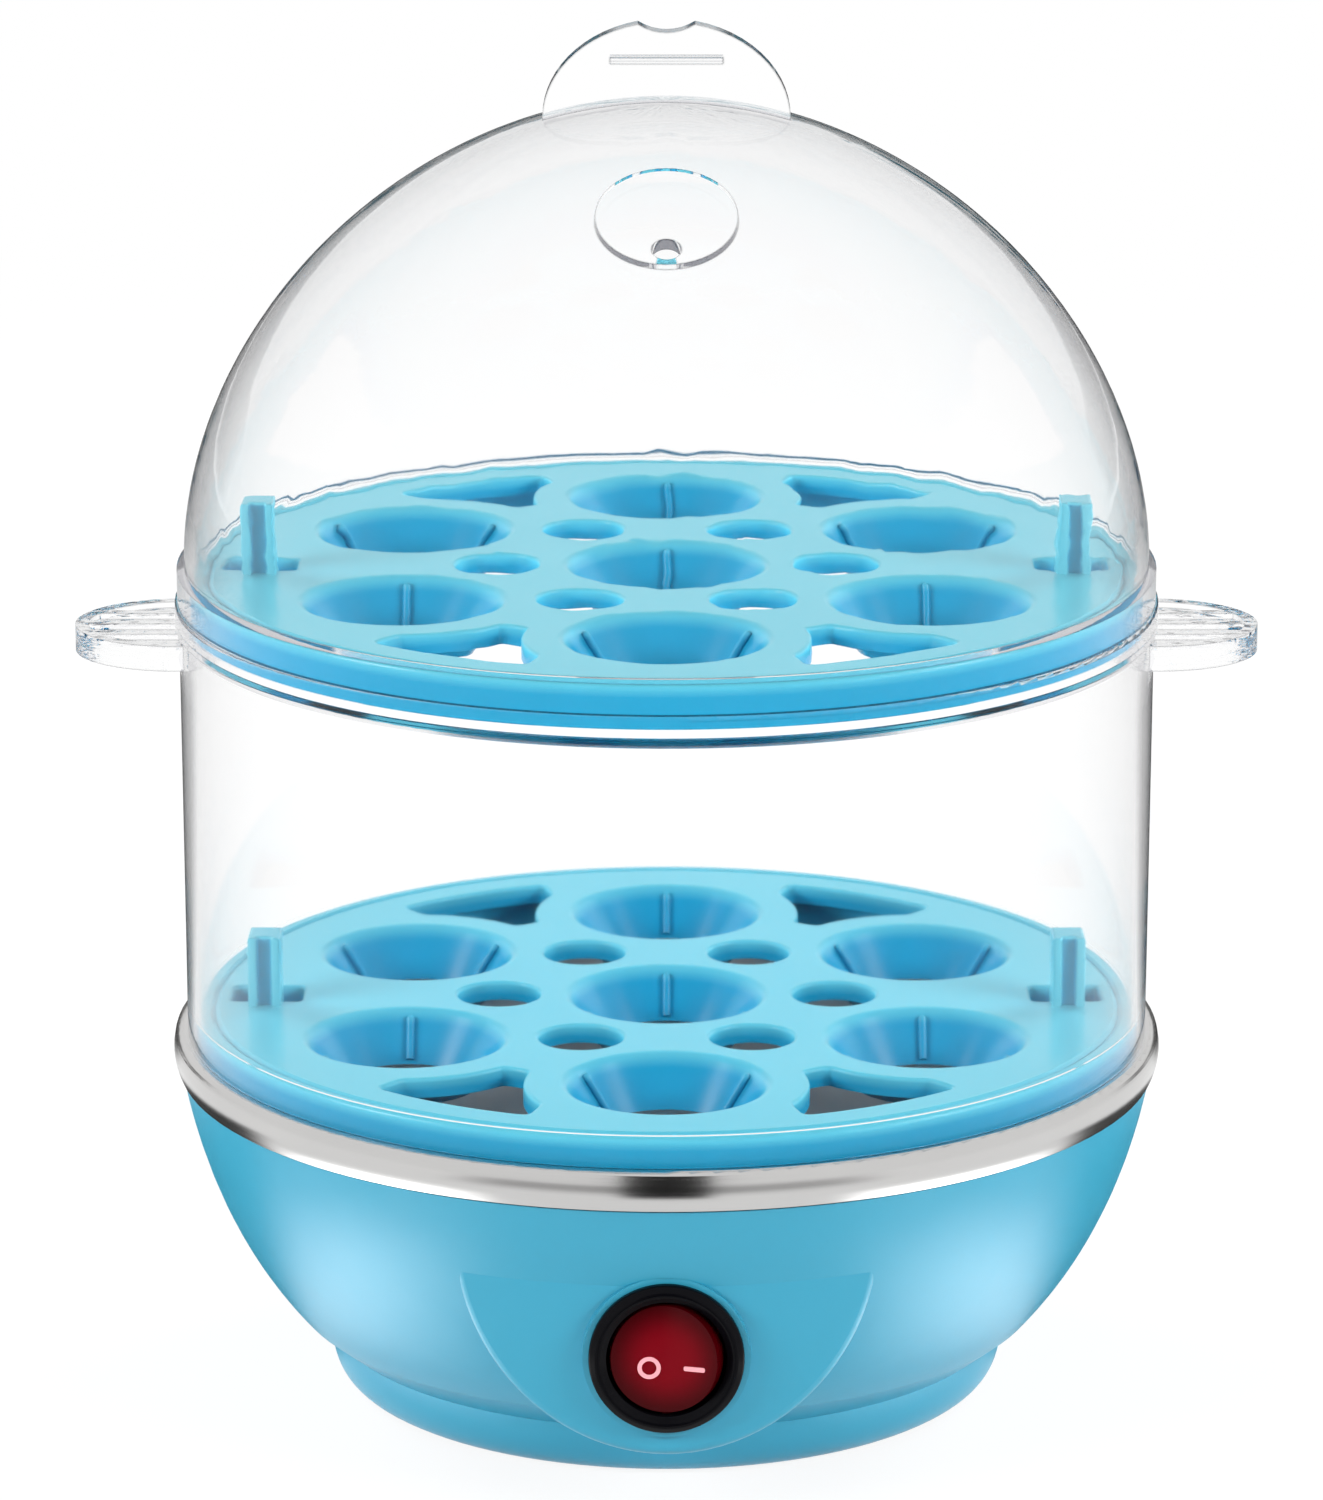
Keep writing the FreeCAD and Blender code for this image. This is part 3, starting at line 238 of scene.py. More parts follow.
class Bench:
    """Places and links the nodes of one tree."""

    def __init__(self, tree):
        self.tree = tree

    def add(self, kind, inputs=None, **settings):
        """A new node, set up and fed."""
        node = self.tree.nodes.new(kind)
        for key, value in settings.items():
            setattr(node, key, value)
        self.feed_all(node, inputs or {})
        return node

    def out(self, kind, inputs=None, output=0, **settings):
        """An output of a new node, its first one unless another is named."""
        return self.add(kind, inputs, **settings).outputs[output]

    def number(self, kind, inputs=None, output=0, **settings):
        """An output of a new node, to reckon with."""
        return Number(self, self.out(kind, inputs, output, **settings))

    def feed_all(self, node, inputs):
        for key, value in inputs.items():
            self.feed(node.inputs[key], value)

    def feed(self, socket, value):
        """Links a socket to its source, or to each source in a list, or sets it to a plain value."""
        if isinstance(value, Number):
            value = value.socket
        if isinstance(value, bpy.types.NodeSocket):
            self.tree.links.new(value, socket)
        elif isinstance(value, list):
            for one in value:
                self.tree.links.new(one, socket)
        else:
            socket.default_value = value

    def math(self, operation, first, second=0.0, third=None):
        inputs = {0: first, 1: second}
        if third is not None:
            inputs[2] = third
        return self.number("ShaderNodeMath", inputs, operation=operation)

    def vector(self, x=0.0, y=0.0, z=0.0):
        return self.out("ShaderNodeCombineXYZ", {"X": x, "Y": y, "Z": z})

    def axes(self, place):
        """The three coordinates of a place."""
        split = self.add("ShaderNodeSeparateXYZ", {0: place}).outputs
        return [Number(self, split[axis]) for axis in "XYZ"]

    # Geometry
    def join(self, pieces):
        return self.out("GeometryNodeJoinGeometry", {"Geometry": list(pieces)})

    def realized(self, pieces):
        return self.out("GeometryNodeRealizeInstances", {"Geometry": self.join(pieces)})

    def shift(self, geometry, x=0.0, y=0.0, z=0.0, turn=(0.0, 0.0, 0.0)):
        inputs = {"Geometry": geometry, "Translation": self.vector(x, y, z), "Rotation": turn}
        return self.out("GeometryNodeTransform", inputs)

    def offset(self, curve, distance):
        """A closed curve that is widened, or narrowed by a negative distance."""
        outward = self.out("GeometryNodeInputNormal", output="Normal")
        step = self.out("ShaderNodeVectorMath", {0: outward, "Scale": distance}, operation="SCALE")
        return self.out("GeometryNodeSetPosition", {"Geometry": curve, "Offset": step})

    def followed(self, guide_input):
        """The shape of an object that a tree is given."""
        return self.out("GeometryNodeObjectInfo", {"Object": guide_input}, "Geometry")

    def circle(self, radius, steps):
        return self.out("GeometryNodeCurvePrimitiveCircle", {"Radius": radius, "Resolution": steps})

    def strip(self, points):
        """Straight stretches of a section through (radius, drop) points."""
        lines = []
        for start, end in zip(points, points[1:]):
            inputs = {"Start": self.vector(*start), "End": self.vector(*end)}
            lines.append(self.out("GeometryNodeCurvePrimitiveLine", inputs))
        return lines

    def bend(self, start, corner, end, steps=6):
        """Rounded stretch of a section."""
        inputs = {"Resolution": steps, "Start": self.vector(*start),
                  "Middle": self.vector(*corner), "End": self.vector(*end)}
        return [self.out("GeometryNodeCurveQuadraticBezier", inputs)]

    def swept(self, path, section, caps=False):
        inputs = {"Curve": path, "Profile Curve": self.join(section), "Fill Caps": caps}
        return self.out("GeometryNodeCurveToMesh", inputs)

    def turned(self, section, steps):
        """Surface of revolution of a section whose X is the radius and whose Y is the drop."""
        path_radius = MM
        moved = self.shift(self.join(section), x=-path_radius)
        return self.swept(self.circle(path_radius, steps), [moved])

    def filled(self, curves, drop=0.0, underside=False):
        """Flat face between closed curves, marked as flat so that its edges stay crisp."""
        face = self.out("GeometryNodeFillCurve", {"Curve": self.realized(curves)}, mode="TRIANGLES")
        if underside:
            face = self.out("GeometryNodeFlipFaces", {"Mesh": face})
        return self.marked(self.shift(face, z=-drop), "flat", 1.0, "FACE")

    def marked(self, geometry, name, value, domain):
        """Geometry with a named number on its faces or points."""
        inputs = {"Geometry": geometry, "Name": name, "Value": value}
        return self.out("GeometryNodeStoreNamedAttribute", inputs, data_type="FLOAT", domain=domain)

    def ring_places(self, number, radius, first=0.0):
        """Points round the middle, the first one at a bearing."""
        inputs = {"Vertices": number, "Radius": radius}
        ring = self.out("GeometryNodeMeshCircle", inputs, fill_type="NONE")
        return self.shift(ring, turn=self.vector(z=first))

    def spots(self, number):
        """Points that all lie in the middle, for copies that only turn."""
        return self.out("GeometryNodePoints", {"Count": number, "Position": (0, 0, 0)})

    def copies(self, points, piece, turn=None):
        inputs = {"Points": points, "Instance": piece}
        if turn is not None:
            inputs["Rotation"] = turn
        return self.out("GeometryNodeInstanceOnPoints", inputs)

    def shaded(self, mesh, smooth, domain, where=True):
        inputs = {"Geometry": mesh, "Selection": where, "Shade Smooth": smooth}
        return self.out("GeometryNodeSetShadeSmooth", inputs, domain=domain)

    def finished(self, pieces, material):
        """Joins, welds, shades and paints what a tree has made."""
        weld = {"Geometry": self.realized(pieces), "Distance": WELD}
        mesh = self.out("GeometryNodeMergeByDistance", weld)
        mesh = self.shaded(mesh, True, "FACE")
        flat = self.out("GeometryNodeInputNamedAttribute", {"Name": "flat"}, data_type="FLOAT")
        border = self.out("GeometryNodeFieldOnDomain", {0: flat}, data_type="FLOAT", domain="EDGE")
        half_flat = self.math("COMPARE", border, 0.5, 0.4)
        bent = self.out("GeometryNodeInputMeshEdgeAngle", output="Unsigned Angle")
        sharp = self.math("MAXIMUM", half_flat, self.math("GREATER_THAN", bent, CREASE))
        mesh = self.shaded(mesh, False, "EDGE", where=sharp)
        mesh = self.out("GeometryNodeRemoveAttribute", {"Geometry": mesh, "Name": "flat"})
        return self.out("GeometryNodeSetMaterial", {"Geometry": mesh, "Material": material})

    # Shading
    def object_place(self):
        return self.out("ShaderNodeTexCoord", output="Object")

    def distance(self, place):
        return self.number("ShaderNodeVectorMath", {0: place}, "Value", operation="LENGTH")

    def ramp(self, value, start, end, high, **settings):
        """Rises from 0 to a high value while its input goes from start to end."""
        inputs = {"Value": value, "From Min": start, "From Max": end, "To Min": 0.0, "To Max": high}
        return self.number("ShaderNodeMapRange", inputs, **settings)

    def noise(self, place, scale, detail=3.0):
        inputs = {"Vector": place, "Scale": scale, "Detail": detail, "Roughness": NOISE_ROUGHNESS}
        return self.number("ShaderNodeTexNoise", inputs)

    def blend(self, factor, first, second):
        """A colour between two others."""
        return self.out("ShaderNodeMix", {0: factor, 6: first, 7: second}, 2, data_type="RGBA")

    def mixed(self, factor, first, second):
        """A shader between two others."""
        return self.out("ShaderNodeMixShader", {0: factor, 1: first, 2: second})

    def surface(self, shader):
        self.add("ShaderNodeOutputMaterial", {"Surface": shader})


SOCKETS = {float: "NodeSocketFloat", int: "NodeSocketInt", "object": "NodeSocketObject",
           "material": "NodeSocketMaterial", "colour": "NodeSocketColor", "geometry": "NodeSocketGeometry"}


def node_group(name, kind, wanted, made):
    """A new tree with named inputs and outputs; returns its bench, its inputs by name and its output node."""
    tree = bpy.data.node_groups.new(name, kind)
    for direction, labels in (("INPUT", wanted), ("OUTPUT", made)):
        for label, value_kind in labels.items():
            tree.interface.new_socket(label, in_out=direction, socket_type=SOCKETS[value_kind])
    bench = Bench(tree)
    sockets = bench.add("NodeGroupInput").outputs
    given = {label: Number(bench, sockets[label]) if value_kind in (float, int) else sockets[label]
             for label, value_kind in wanted.items()}
    return bench, given, bench.add("NodeGroupOutput")


def geometry_tree(name, wanted):
    return node_group(name, "GeometryNodeTree", wanted, {"Geometry": "geometry"})


def key_of(label):
    return label.lower().replace(" ", "_")


def grown(name, tree, values):
    """Runs a geometry tree once and returns its result as a plain object at the origin."""
    carrier = shown(name + "_carrier", bpy.data.meshes.new(name + "_carrier"))
    modifier = carrier.modifiers.new("Nodes", "NODES")
    modifier.node_group = tree
    for item in tree.interface.items_tree:
        if item.in_out == "INPUT":
            modifier[item.identifier] = values[item.name]
    graph = bpy.context.evaluated_depsgraph_get()
    mesh = bpy.data.meshes.new_from_object(carrier.evaluated_get(graph), depsgraph=graph)
    bpy.data.objects.remove(carrier)
    if not mesh.polygons:
        raise RuntimeError(name + " came out empty")
    mesh.name = name
    return shown(name, mesh)


def shown(name, data):
    piece = bpy.data.objects.new(name, data)
    bpy.context.scene.collection.objects.link(piece)
    return piece


def guide(name, points):
    """Closed flat curve that a geometry tree follows; it is removed after use."""
    data = bpy.data.curves.new(name, "CURVE")
    data.dimensions = "3D"
    spline = data.splines.new("POLY")
    spline.points.add(len(points) - 1)
    for point, (x, y) in zip(spline.points, points):
        point.co = (x, y, 0.0, 1.0)
    spline.use_cyclic_u = True
    return shown(name, data)


# Roundings in the outlines of openings and posts
FAN_CORNER = 1.4 * MM
SLOT_CORNER = 1.2 * MM
POST_CORNER = 0.45 * MM


# Outlines of flat openings, as points that run anticlockwise
def arc_points(centre, radius, start, end, steps):
    return [(centre[0] + radius * math.cos(start + (end - start) * step / steps),
             centre[1] + radius * math.sin(start + (end - start) * step / steps))
            for step in range(steps + 1)]


def rounded(corners, radius, steps=5):
    """Rounds the corners of a closed outline by quadratic bends."""
    nearly_straight, longest = 0.2, 0.45
    points = []
    total = len(corners)
    for index, corner in enumerate(corners):
        here = Vector(corner)
        before = Vector(corners[index - 1]) - here
        after = Vector(corners[(index + 1) % total]) - here
        if abs(before.normalized().dot(after.normalized()) + 1.0) < nearly_straight:
            points.append(corner)
            continue
        start = here + before.normalized() * min(radius, before.length * longest)
        end = here + after.normalized() * min(radius, after.length * longest)
        for step in range(steps + 1):
            t = step / steps
            spot = start * (1 - t) ** 2 + here * 2 * t * (1 - t) + end * t ** 2
            points.append((spot.x, spot.y))
    return points


def fan_outline(sizes):
    """Curved triangle between two cups, on the +X axis."""
    half_pitch = math.pi / sizes.egg_count
    cup = Vector((math.cos(half_pitch), math.sin(half_pitch))) * sizes.egg_circle
    side = Vector((math.cos(sizes.fan_half_angle), math.sin(sizes.fan_half_angle)))
    along = cup.dot(side)
    reach = along + math.sqrt(along ** 2 - cup.length_squared + sizes.fan_clear ** 2)
    side_end = side * reach - cup
    inner_x = sizes.fan_inner
    inner_y = cup.y - math.sqrt(sizes.fan_clear ** 2 - (inner_x - cup.x) ** 2)
    first = math.atan2(side_end.y, side_end.x)
    last = math.atan2(inner_y - cup.y, inner_x - cup.x)
    concave = arc_points(cup, sizes.fan_clear, first, last, 10)
    outer = arc_points((0, 0), sizes.fan_outer, -sizes.fan_half_angle, sizes.fan_half_angle, 8)
    mirrored = [(x, -y) for x, y in reversed(concave)]
    return rounded(outer + concave + mirrored, FAN_CORNER)


def slot_outline(sizes):
    half_x = sizes.slot_width / 2
    half_y = sizes.slot_depth / 2
    corners = [(half_x, half_y), (-half_x, half_y), (-half_x, -half_y), (half_x, -half_y)]
    return rounded(corners, SLOT_CORNER)


def post_outline(sizes):
    """Section of a post, channelled at its front, about its own middle."""
    half_x = sizes.post_width / 2
    half_y = sizes.post_depth / 2
    channel = sizes.channel_width / 2
    bed = sizes.channel_depth - half_y
    corners = [(half_x, -half_y), (half_x, half_y), (-half_x, half_y), (-half_x, -half_y),
               (-channel, -half_y), (-channel, bed), (channel, bed), (channel, -half_y)]
    return rounded(corners, POST_CORNER, 4)


# How finely the round shapes of a tray are drawn
TRAY_STEPS = 288
CUP_STEPS = 72
VENT_STEPS = 48
LOCATOR_STEPS = 120
RIB_STEPS = 14
RIB_END_STEPS = 8

# Small shares and sizes of a tray
FAN_COUNT = 4
RIB_STAND = 0.45           # a rib's axis stands this share of its radius in front of the cup's wall
LOCATOR_TOP = 0.8          # the locating ring starts this share of the plate's thickness below the top
POST_CAP = 0.5 * MM        # rounding at the top of a post
BED_REACH = 0.5 * MM       # points this close to the bed of a post's channel count as the bed
BED_SHADE = 0.18           # painted shade share that the finish puts there

TRAY_LENGTHS = (
    "Radius", "Plate", "Skirt", "Skirt Wall", "Edge Round", "Groove Inset", "Groove Half", "Groove Depth",
    "Locator Outer", "Locator Wall", "Locator Drop", "Egg Circle", "Cup Radius", "Cup Low", "Cup Depth",
    "Cup Lip", "Cup Wall", "Rib Radius", "Vent Circle", "Vent Radius", "Hole Round", "Post Circle",
    "Post Depth", "Post Height", "Channel Depth", "Slot Depth")
TRAY_COUNTS = ("Egg Count", "Rib Count")
TRAY_OUTLINES = {"Fan Outline": fan_outline, "Slot Outline": slot_outline, "Post Outline": post_outline}
TRAY_INPUTS = {"Top": float, **dict.fromkeys(TRAY_LENGTHS, float), **dict.fromkeys(TRAY_COUNTS, int),
               **dict.fromkeys(TRAY_OUTLINES, "object"), "Material": "material"}


def tray_tree():
    """Egg tray: a holed plate with a turned edge, turned cups, ribs, swept vents and posts."""
    bench, given, result = geometry_tree("Egg tray", TRAY_INPUTS)
    size = SimpleNamespace(**{key_of(label): value for label, value in given.items()})
    marks = tray_marks(bench, size)
    pieces = [tray_edge(bench, size, marks), *egg_cups(bench, size, marks), *openings(bench, size, marks),
              *plate_faces(bench, size, marks), *locating_ring(bench, size)]

    # The finish reads how deep each point lies under the top face, as a share of a cup's depth, and paints
    # shade by it
    x, y, z = bench.axes(bench.out("GeometryNodeInputPosition"))
    made = bench.marked(bench.realized(pieces), "tray_depth", z / -size.cup_depth, "POINT")
    column = lifting_post(bench, size, y, z)
    posts = bench.copies(bench.shift(marks.slots, y=size.slot_depth * -0.5), column)
    made = bench.shift(bench.join([made, posts]), z=size.top)
    bench.feed(result.inputs["Geometry"], bench.finished([made], size.material))
    return bench.tree


def tray_marks(bench, size):
    """Radii, places and outlines that the parts of a tray share."""
    marks = SimpleNamespace()
    marks.groove = size.radius - size.groove_inset
    marks.face = marks.groove - size.groove_half
    marks.bore = size.radius - size.skirt_wall
    marks.slope = (size.cup_radius - size.cup_low) / size.cup_depth
    marks.cup_rim = size.cup_radius + size.cup_lip
    marks.cup_foot = size.cup_low + size.cup_wall
    marks.cup_outside = marks.cup_foot + marks.slope * (size.cup_depth - size.plate)
    marks.vent_rim = size.vent_radius + size.hole_round

    marks.index = bench.number("GeometryNodeInputIndex")
    marks.pitch = 2 * math.pi / size.egg_count
    marks.ring = bench.ring_places(size.egg_count, size.egg_circle, marks.pitch * 0.5)
    marks.cups = bench.join([marks.ring, bench.out("GeometryNodeMeshLine", {"Count": 1})])
    marks.vents = bench.ring_places(size.egg_count, size.vent_circle)
    marks.fans = bench.spots(FAN_COUNT)
    skipped = bench.math("FLOOR", marks.index * 0.5)
    marks.fan_turn = bench.vector(z=(marks.index + skipped + 1.0) * marks.pitch)
    pair = {"Count": 2, "Start Location": bench.vector(size.post_circle),
            "Offset": bench.vector(size.post_circle * -2.0)}
    marks.slots = bench.out("GeometryNodeMeshLine", pair, mode="OFFSET")

    marks.fan = bench.followed(size.fan_outline)
    marks.slot = bench.followed(size.slot_outline)
    return marks


def tray_edge(bench, size, marks):
    """Groove, rounded corner and skirt."""
    corner = size.radius - size.edge_round
    edge = bench.strip([(marks.face, 0.0), (marks.groove, size.groove_depth),
                        (marks.groove + size.groove_half, 0.0), (corner, 0.0)])
    edge += bench.bend((corner, 0.0), (size.radius, 0.0), (size.radius, size.edge_round))
    edge += bench.strip([(size.radius, size.edge_round), (size.radius, size.skirt), (marks.bore, size.skirt),
                         (marks.bore, size.plate)])
    return bench.turned(edge, TRAY_STEPS)


def egg_cups(bench, size, marks):
    """Cups with a rounded lip, and ribs that lie along their slope."""
    lip_foot = (size.cup_radius - marks.slope * size.cup_lip, size.cup_lip)
    wall = bench.strip([(marks.cup_outside, size.plate), (marks.cup_foot, size.cup_depth),
                        (size.cup_low, size.cup_depth), lip_foot])
    wall += bench.bend(lip_foot, (size.cup_radius, 0.0), (marks.cup_rim, 0.0))
    cups = bench.copies(marks.cups, bench.turned(wall, CUP_STEPS))

    height = size.cup_depth - size.cup_lip
    stick = bench.out("GeometryNodeMeshCylinder", {"Vertices": RIB_STEPS, "Radius": size.rib_radius,
                                                   "Depth": height}, "Mesh")
    ball = bench.out("GeometryNodeMeshUVSphere", {"Segments": RIB_STEPS, "Rings": RIB_END_STEPS,
                                                  "Radius": size.rib_radius}, "Mesh")
    rib = bench.join([stick, bench.shift(ball, z=height * 0.5)])
    rib_x = size.cup_low + marks.slope * (height * 0.5) - size.rib_radius * RIB_STAND
    lean = bench.math("ARCTANGENT", marks.slope)
    rib = bench.shift(rib, x=rib_x, z=height * 0.5 - size.cup_depth, turn=bench.vector(y=lean))
    rib_turn = marks.index * (2 * math.pi / size.rib_count)
    ribs = bench.copies(bench.spots(size.rib_count), rib, bench.vector(z=rib_turn))
    bearing = marks.index * marks.pitch + marks.pitch * 0.5
    return [cups, bench.copies(marks.ring, ribs, bench.vector(z=bearing)),
            bench.shift(ribs, turn=(0.0, 0.0, math.radians(90)))]


def openings(bench, size, marks):
    """Walls of the round vents, the fan vents and the slots, rounded at the top."""
    def wall(x):
        straight = bench.strip([(x, size.plate), (x, size.hole_round)])
        return straight + bench.bend((x, size.hole_round), (x, 0.0), (x + size.hole_round, 0.0))

    outline_wall = wall(0.0)
    return [bench.copies(marks.vents, bench.turned(wall(size.vent_radius), VENT_STEPS)),
            bench.copies(marks.fans, bench.swept(marks.fan, outline_wall), marks.fan_turn),
            bench.copies(marks.slots, bench.swept(marks.slot, outline_wall))]


def plate_faces(bench, size, marks):
    """Top and underside of the plate, between its edge and its openings."""
    def holed(outside, cup, vent, fan, slot):
        return [bench.circle(outside, TRAY_STEPS), bench.copies(marks.cups, bench.circle(cup, CUP_STEPS)),
                bench.copies(marks.vents, bench.circle(vent, VENT_STEPS)),
                bench.copies(marks.fans, fan, marks.fan_turn), bench.copies(marks.slots, slot)]

    wide_fan = bench.offset(marks.fan, size.hole_round)
    wide_slot = bench.offset(marks.slot, size.hole_round)
    top = holed(marks.face, marks.cup_rim, marks.vent_rim, wide_fan, wide_slot)
    under = holed(marks.bore, marks.cup_outside, size.vent_radius, marks.fan, marks.slot)
    return [bench.filled(top), bench.filled(under, drop=size.plate, underside=True)]


def locating_ring(bench, size):
    """Two halves of a ring under the plate, which is open at the slots."""
    gap = (size.slot_depth + size.hole_round * 2.0) / (size.locator_outer * 2.0)
    path = bench.out("GeometryNodeCurveArc", {
        "Resolution": LOCATOR_STEPS, "Radius": size.locator_outer, "Start Angle": gap,
        "Sweep Angle": math.pi - gap * 2.0})
    tall = size.locator_drop - size.plate * LOCATOR_TOP
    bar = bench.out("GeometryNodeCurvePrimitiveQuadrilateral", {"Width": size.locator_wall, "Height": tall})
    bar = bench.shift(bar, x=size.locator_wall * -0.5, y=size.locator_drop - tall * 0.5)
    half_ring = bench.swept(path, [bar], caps=True)
    return [half_ring, bench.shift(half_ring, turn=(0.0, 0.0, math.pi))]


def lifting_post(bench, size, y, z):
    """Post about its own middle, where only the bed of its channel gets painted shade."""
    post = bench.followed(size.post_outline)
    top = -size.post_height
    shoulder = top + POST_CAP
    flank = bench.bend((-POST_CAP, top), (0.0, top), (0.0, shoulder), 4)
    flank += bench.strip([(0.0, shoulder), (0.0, size.plate)])
    crown = bench.offset(post, -POST_CAP)
    column = bench.join([bench.swept(post, flank), bench.filled([crown], drop=top),
                         bench.filled([post], drop=size.plate, underside=True)])
    bed = size.channel_depth - size.post_depth * 0.5
    on_bed = bench.math("COMPARE", y, bed, BED_REACH)
    under_crown = bench.math("LESS_THAN", z, size.post_height - 0.9 * POST_CAP)
    return bench.marked(column, "tray_depth", on_bed * under_crown * BED_SHADE, "POINT")


def circle_tree():
    """Copies of one piece round the middle."""
    bench, given, result = geometry_tree("Round the middle", {
        "Piece": "object", "Number": int, "Circle": float, "First Bearing": float, "Material": "material"})
    places = bench.ring_places(given["Number"], given["Circle"], given["First Bearing"])
    copies = bench.copies(places, bench.followed(given["Piece"]))
    bench.feed(result.inputs["Geometry"], bench.finished([copies], given["Material"]))
    return bench.tree


def bridged(shape, first, second):
    """Closes the band between two rings of as many points."""
    for index in range(len(first)):
        after = (index + 1) % len(first)
        corners = [first[index], first[after], second[after], second[index]]
        shape.faces.new(list(dict.fromkeys(corners)))


def closed_mesh(name, shape):
    """Plain mesh of a closed shape, with its faces outwards."""
    bmesh.ops.recalc_face_normals(shape, faces=shape.faces)
    mesh = bpy.data.meshes.new(name)
    shape.to_mesh(mesh)
    shape.free()
    return mesh


def turned_mesh(name, section, steps=48):
    """Plain mesh of revolution about Z from (radius, height) points, from axis to axis."""
    shape = bmesh.new()
    rings = []
    for radius, height in section:
        turns = [2 * math.pi * step / steps for step in range(steps)]
        if radius == 0:
            rings.append([shape.verts.new((0, 0, height))] * steps)
        else:
            rings.append([shape.verts.new((radius * math.cos(turn), radius * math.sin(turn), height))
                          for turn in turns])
    for low, high in zip(rings, rings[1:]):
        bridged(shape, low, high)
    return closed_mesh(name, shape)


# Shader groups
def shader_group(name, wanted, made):
    return node_group(name, "ShaderNodeTree", wanted, made)


def moulded_skin():
    """Moulded plastic: slight flow tones, a fine grain, a gloss that is a little uneven, and painted shade
    towards the deep colour by a given share.
    """
    bench, given, made = shader_group(
        "Moulded skin",
        {"Colour": "colour", "Deep Colour": "colour", "Depth": float, "Gloss": float, "Grain": float},
        {"Colour": "colour", "Roughness": float, "Height": float})
    flow_scale, flow_share = 26.0, 0.16
    patch_scale, patch_share = 90.0, 0.07
    place = bench.object_place()
    flow = bench.noise(place, flow_scale) * flow_share
    toned = bench.blend(flow, given["Colour"], given["Deep Colour"])
    uneven = (bench.noise(place, patch_scale) - 0.5) * patch_share
    bench.feed_all(made, {
        # Painted shade: the Depth share pulls the colour towards the deep colour
        "Colour": bench.blend(given["Depth"], toned, given["Deep Colour"]),
        "Roughness": given["Gloss"] + uneven,
        "Height": bench.noise(place, given["Grain"], detail=2.0)})
    return bench.tree


def handling_marks():
    """Faint wipe marks and dust, which lift the roughness here and there."""
    bench, given, made = shader_group(
        "Handling marks", {"Clean": float, "Wiped": float}, {"Roughness": float})
    wipe_scale, wipe_top, wipe_blend = (22.0, 22.0, 60.0), 0.7, 0.2
    speck_scale, speck_level, speck_share = 900.0, 0.74, 0.5
    place = bench.object_place()
    stretched = bench.out("ShaderNodeMapping", {"Vector": place, "Scale": wipe_scale})
    wipes = bench.math("SMOOTH_MIN", bench.noise(stretched, 1.0, detail=4.0), wipe_top, wipe_blend)
    specks = bench.math("GREATER_THAN", bench.noise(place, speck_scale, detail=1.0), speck_level)
    mask = bench.math("MAXIMUM", wipes, specks * speck_share)
    bench.feed_all(made, {"Roughness": given["Clean"] + (given["Wiped"] - given["Clean"]) * mask})
    return bench.tree


def spun_lines():
    """Fine rings left by spinning sheet metal about Z."""
    bench, given, made = shader_group(
        "Spun lines", {"Pitch": float}, {"Height": float, "Tone": float})
    break_scale, tone_scale = 12.0, 34.0
    place = bench.object_place()
    x, y, z = bench.axes(place)
    run = (bench.math("SQRT", x * x + y * y) + z) / given["Pitch"]
    across = bench.vector(run, x * break_scale, y * break_scale)
    bench.feed_all(made, {
        "Height": bench.noise(across, 1.0, detail=2.0), "Tone": bench.noise(place, tone_scale)})
    return bench.tree


GROUPS = {}


def group(maker):
    """A shared shader group, built the first time it is asked for."""
    if maker.__name__ not in GROUPS:
        GROUPS[maker.__name__] = maker()
    return GROUPS[maker.__name__]


# Materials
def emptied(data):
    """A bench on the bare node tree of a material or a world."""
    data.use_nodes = True
    bench = Bench(data.node_tree)
    bench.tree.nodes.clear()
    return bench


def opened(name):
    """A new material with a Principled shader."""
    material = bpy.data.materials.new(name)
    bench = emptied(material)
    return material, bench, bench.add("ShaderNodeBsdfPrincipled")


def placed(bench, maker, inputs):
    """Outputs of a shared shader group with its own values."""
    return bench.add("ShaderNodeGroup", inputs, node_tree=group(maker)).outputs


def bump(bench, shader, height, strength, distance):
    inputs = {"Height": height, "Strength": strength, "Distance": distance * MM}
    bench.feed(shader.inputs["Normal"], bench.out("ShaderNodeBump", inputs))


def rgba(tint, factor=1.0):
    return (tint[0] * factor, tint[1] * factor, tint[2] * factor, 1.0)


DIM = (0.68, 0.68, 0.7)    # light that a trapped ray keeps at each wall
GRAIN = 2200.0             # scale of the grain of moulded plastic
GRAIN_HEIGHT = 0.15        # heights of bumps, in millimetres
SPUN_HEIGHT = 0.05
PEBBLE_HEIGHT = 0.5


def plastic(name, tint, gloss, deep=0.7, strength=0.05, shade_and_tone_tint=None, depth=None, specular=0.5):
    """Opaque moulded plastic; a rule may give each point a share of painted shade towards the dark colour."""
    material, bench, shader = opened(name)
    # The deep colour is the dark end of random flow tones and, where a rule gives a share, painted shade
    skin = placed(bench, moulded_skin, {
        "Colour": rgba(tint), "Deep Colour": rgba(shade_and_tone_tint) if shade_and_tone_tint else rgba(tint, deep),
        "Depth": depth(bench) if depth else 0.0, "Gloss": gloss, "Grain": GRAIN})
    bench.feed_all(shader, {
        "Base Color": skin["Colour"], "Roughness": skin["Roughness"], "Specular IOR Level": specular})
    bump(bench, shader, skin["Height"], strength, GRAIN_HEIGHT)
    bench.surface(shader.outputs[0])
    return material


def tray_depth(bench):
    """Share of painted shade on a tray, towards its shade colour, full about 2 mm under its top face."""
    rise, most = 3.4, 0.92
    found = bench.number("ShaderNodeAttribute", output="Fac", attribute_name="tray_depth")
    return bench.math("MINIMUM", found * rise, most)


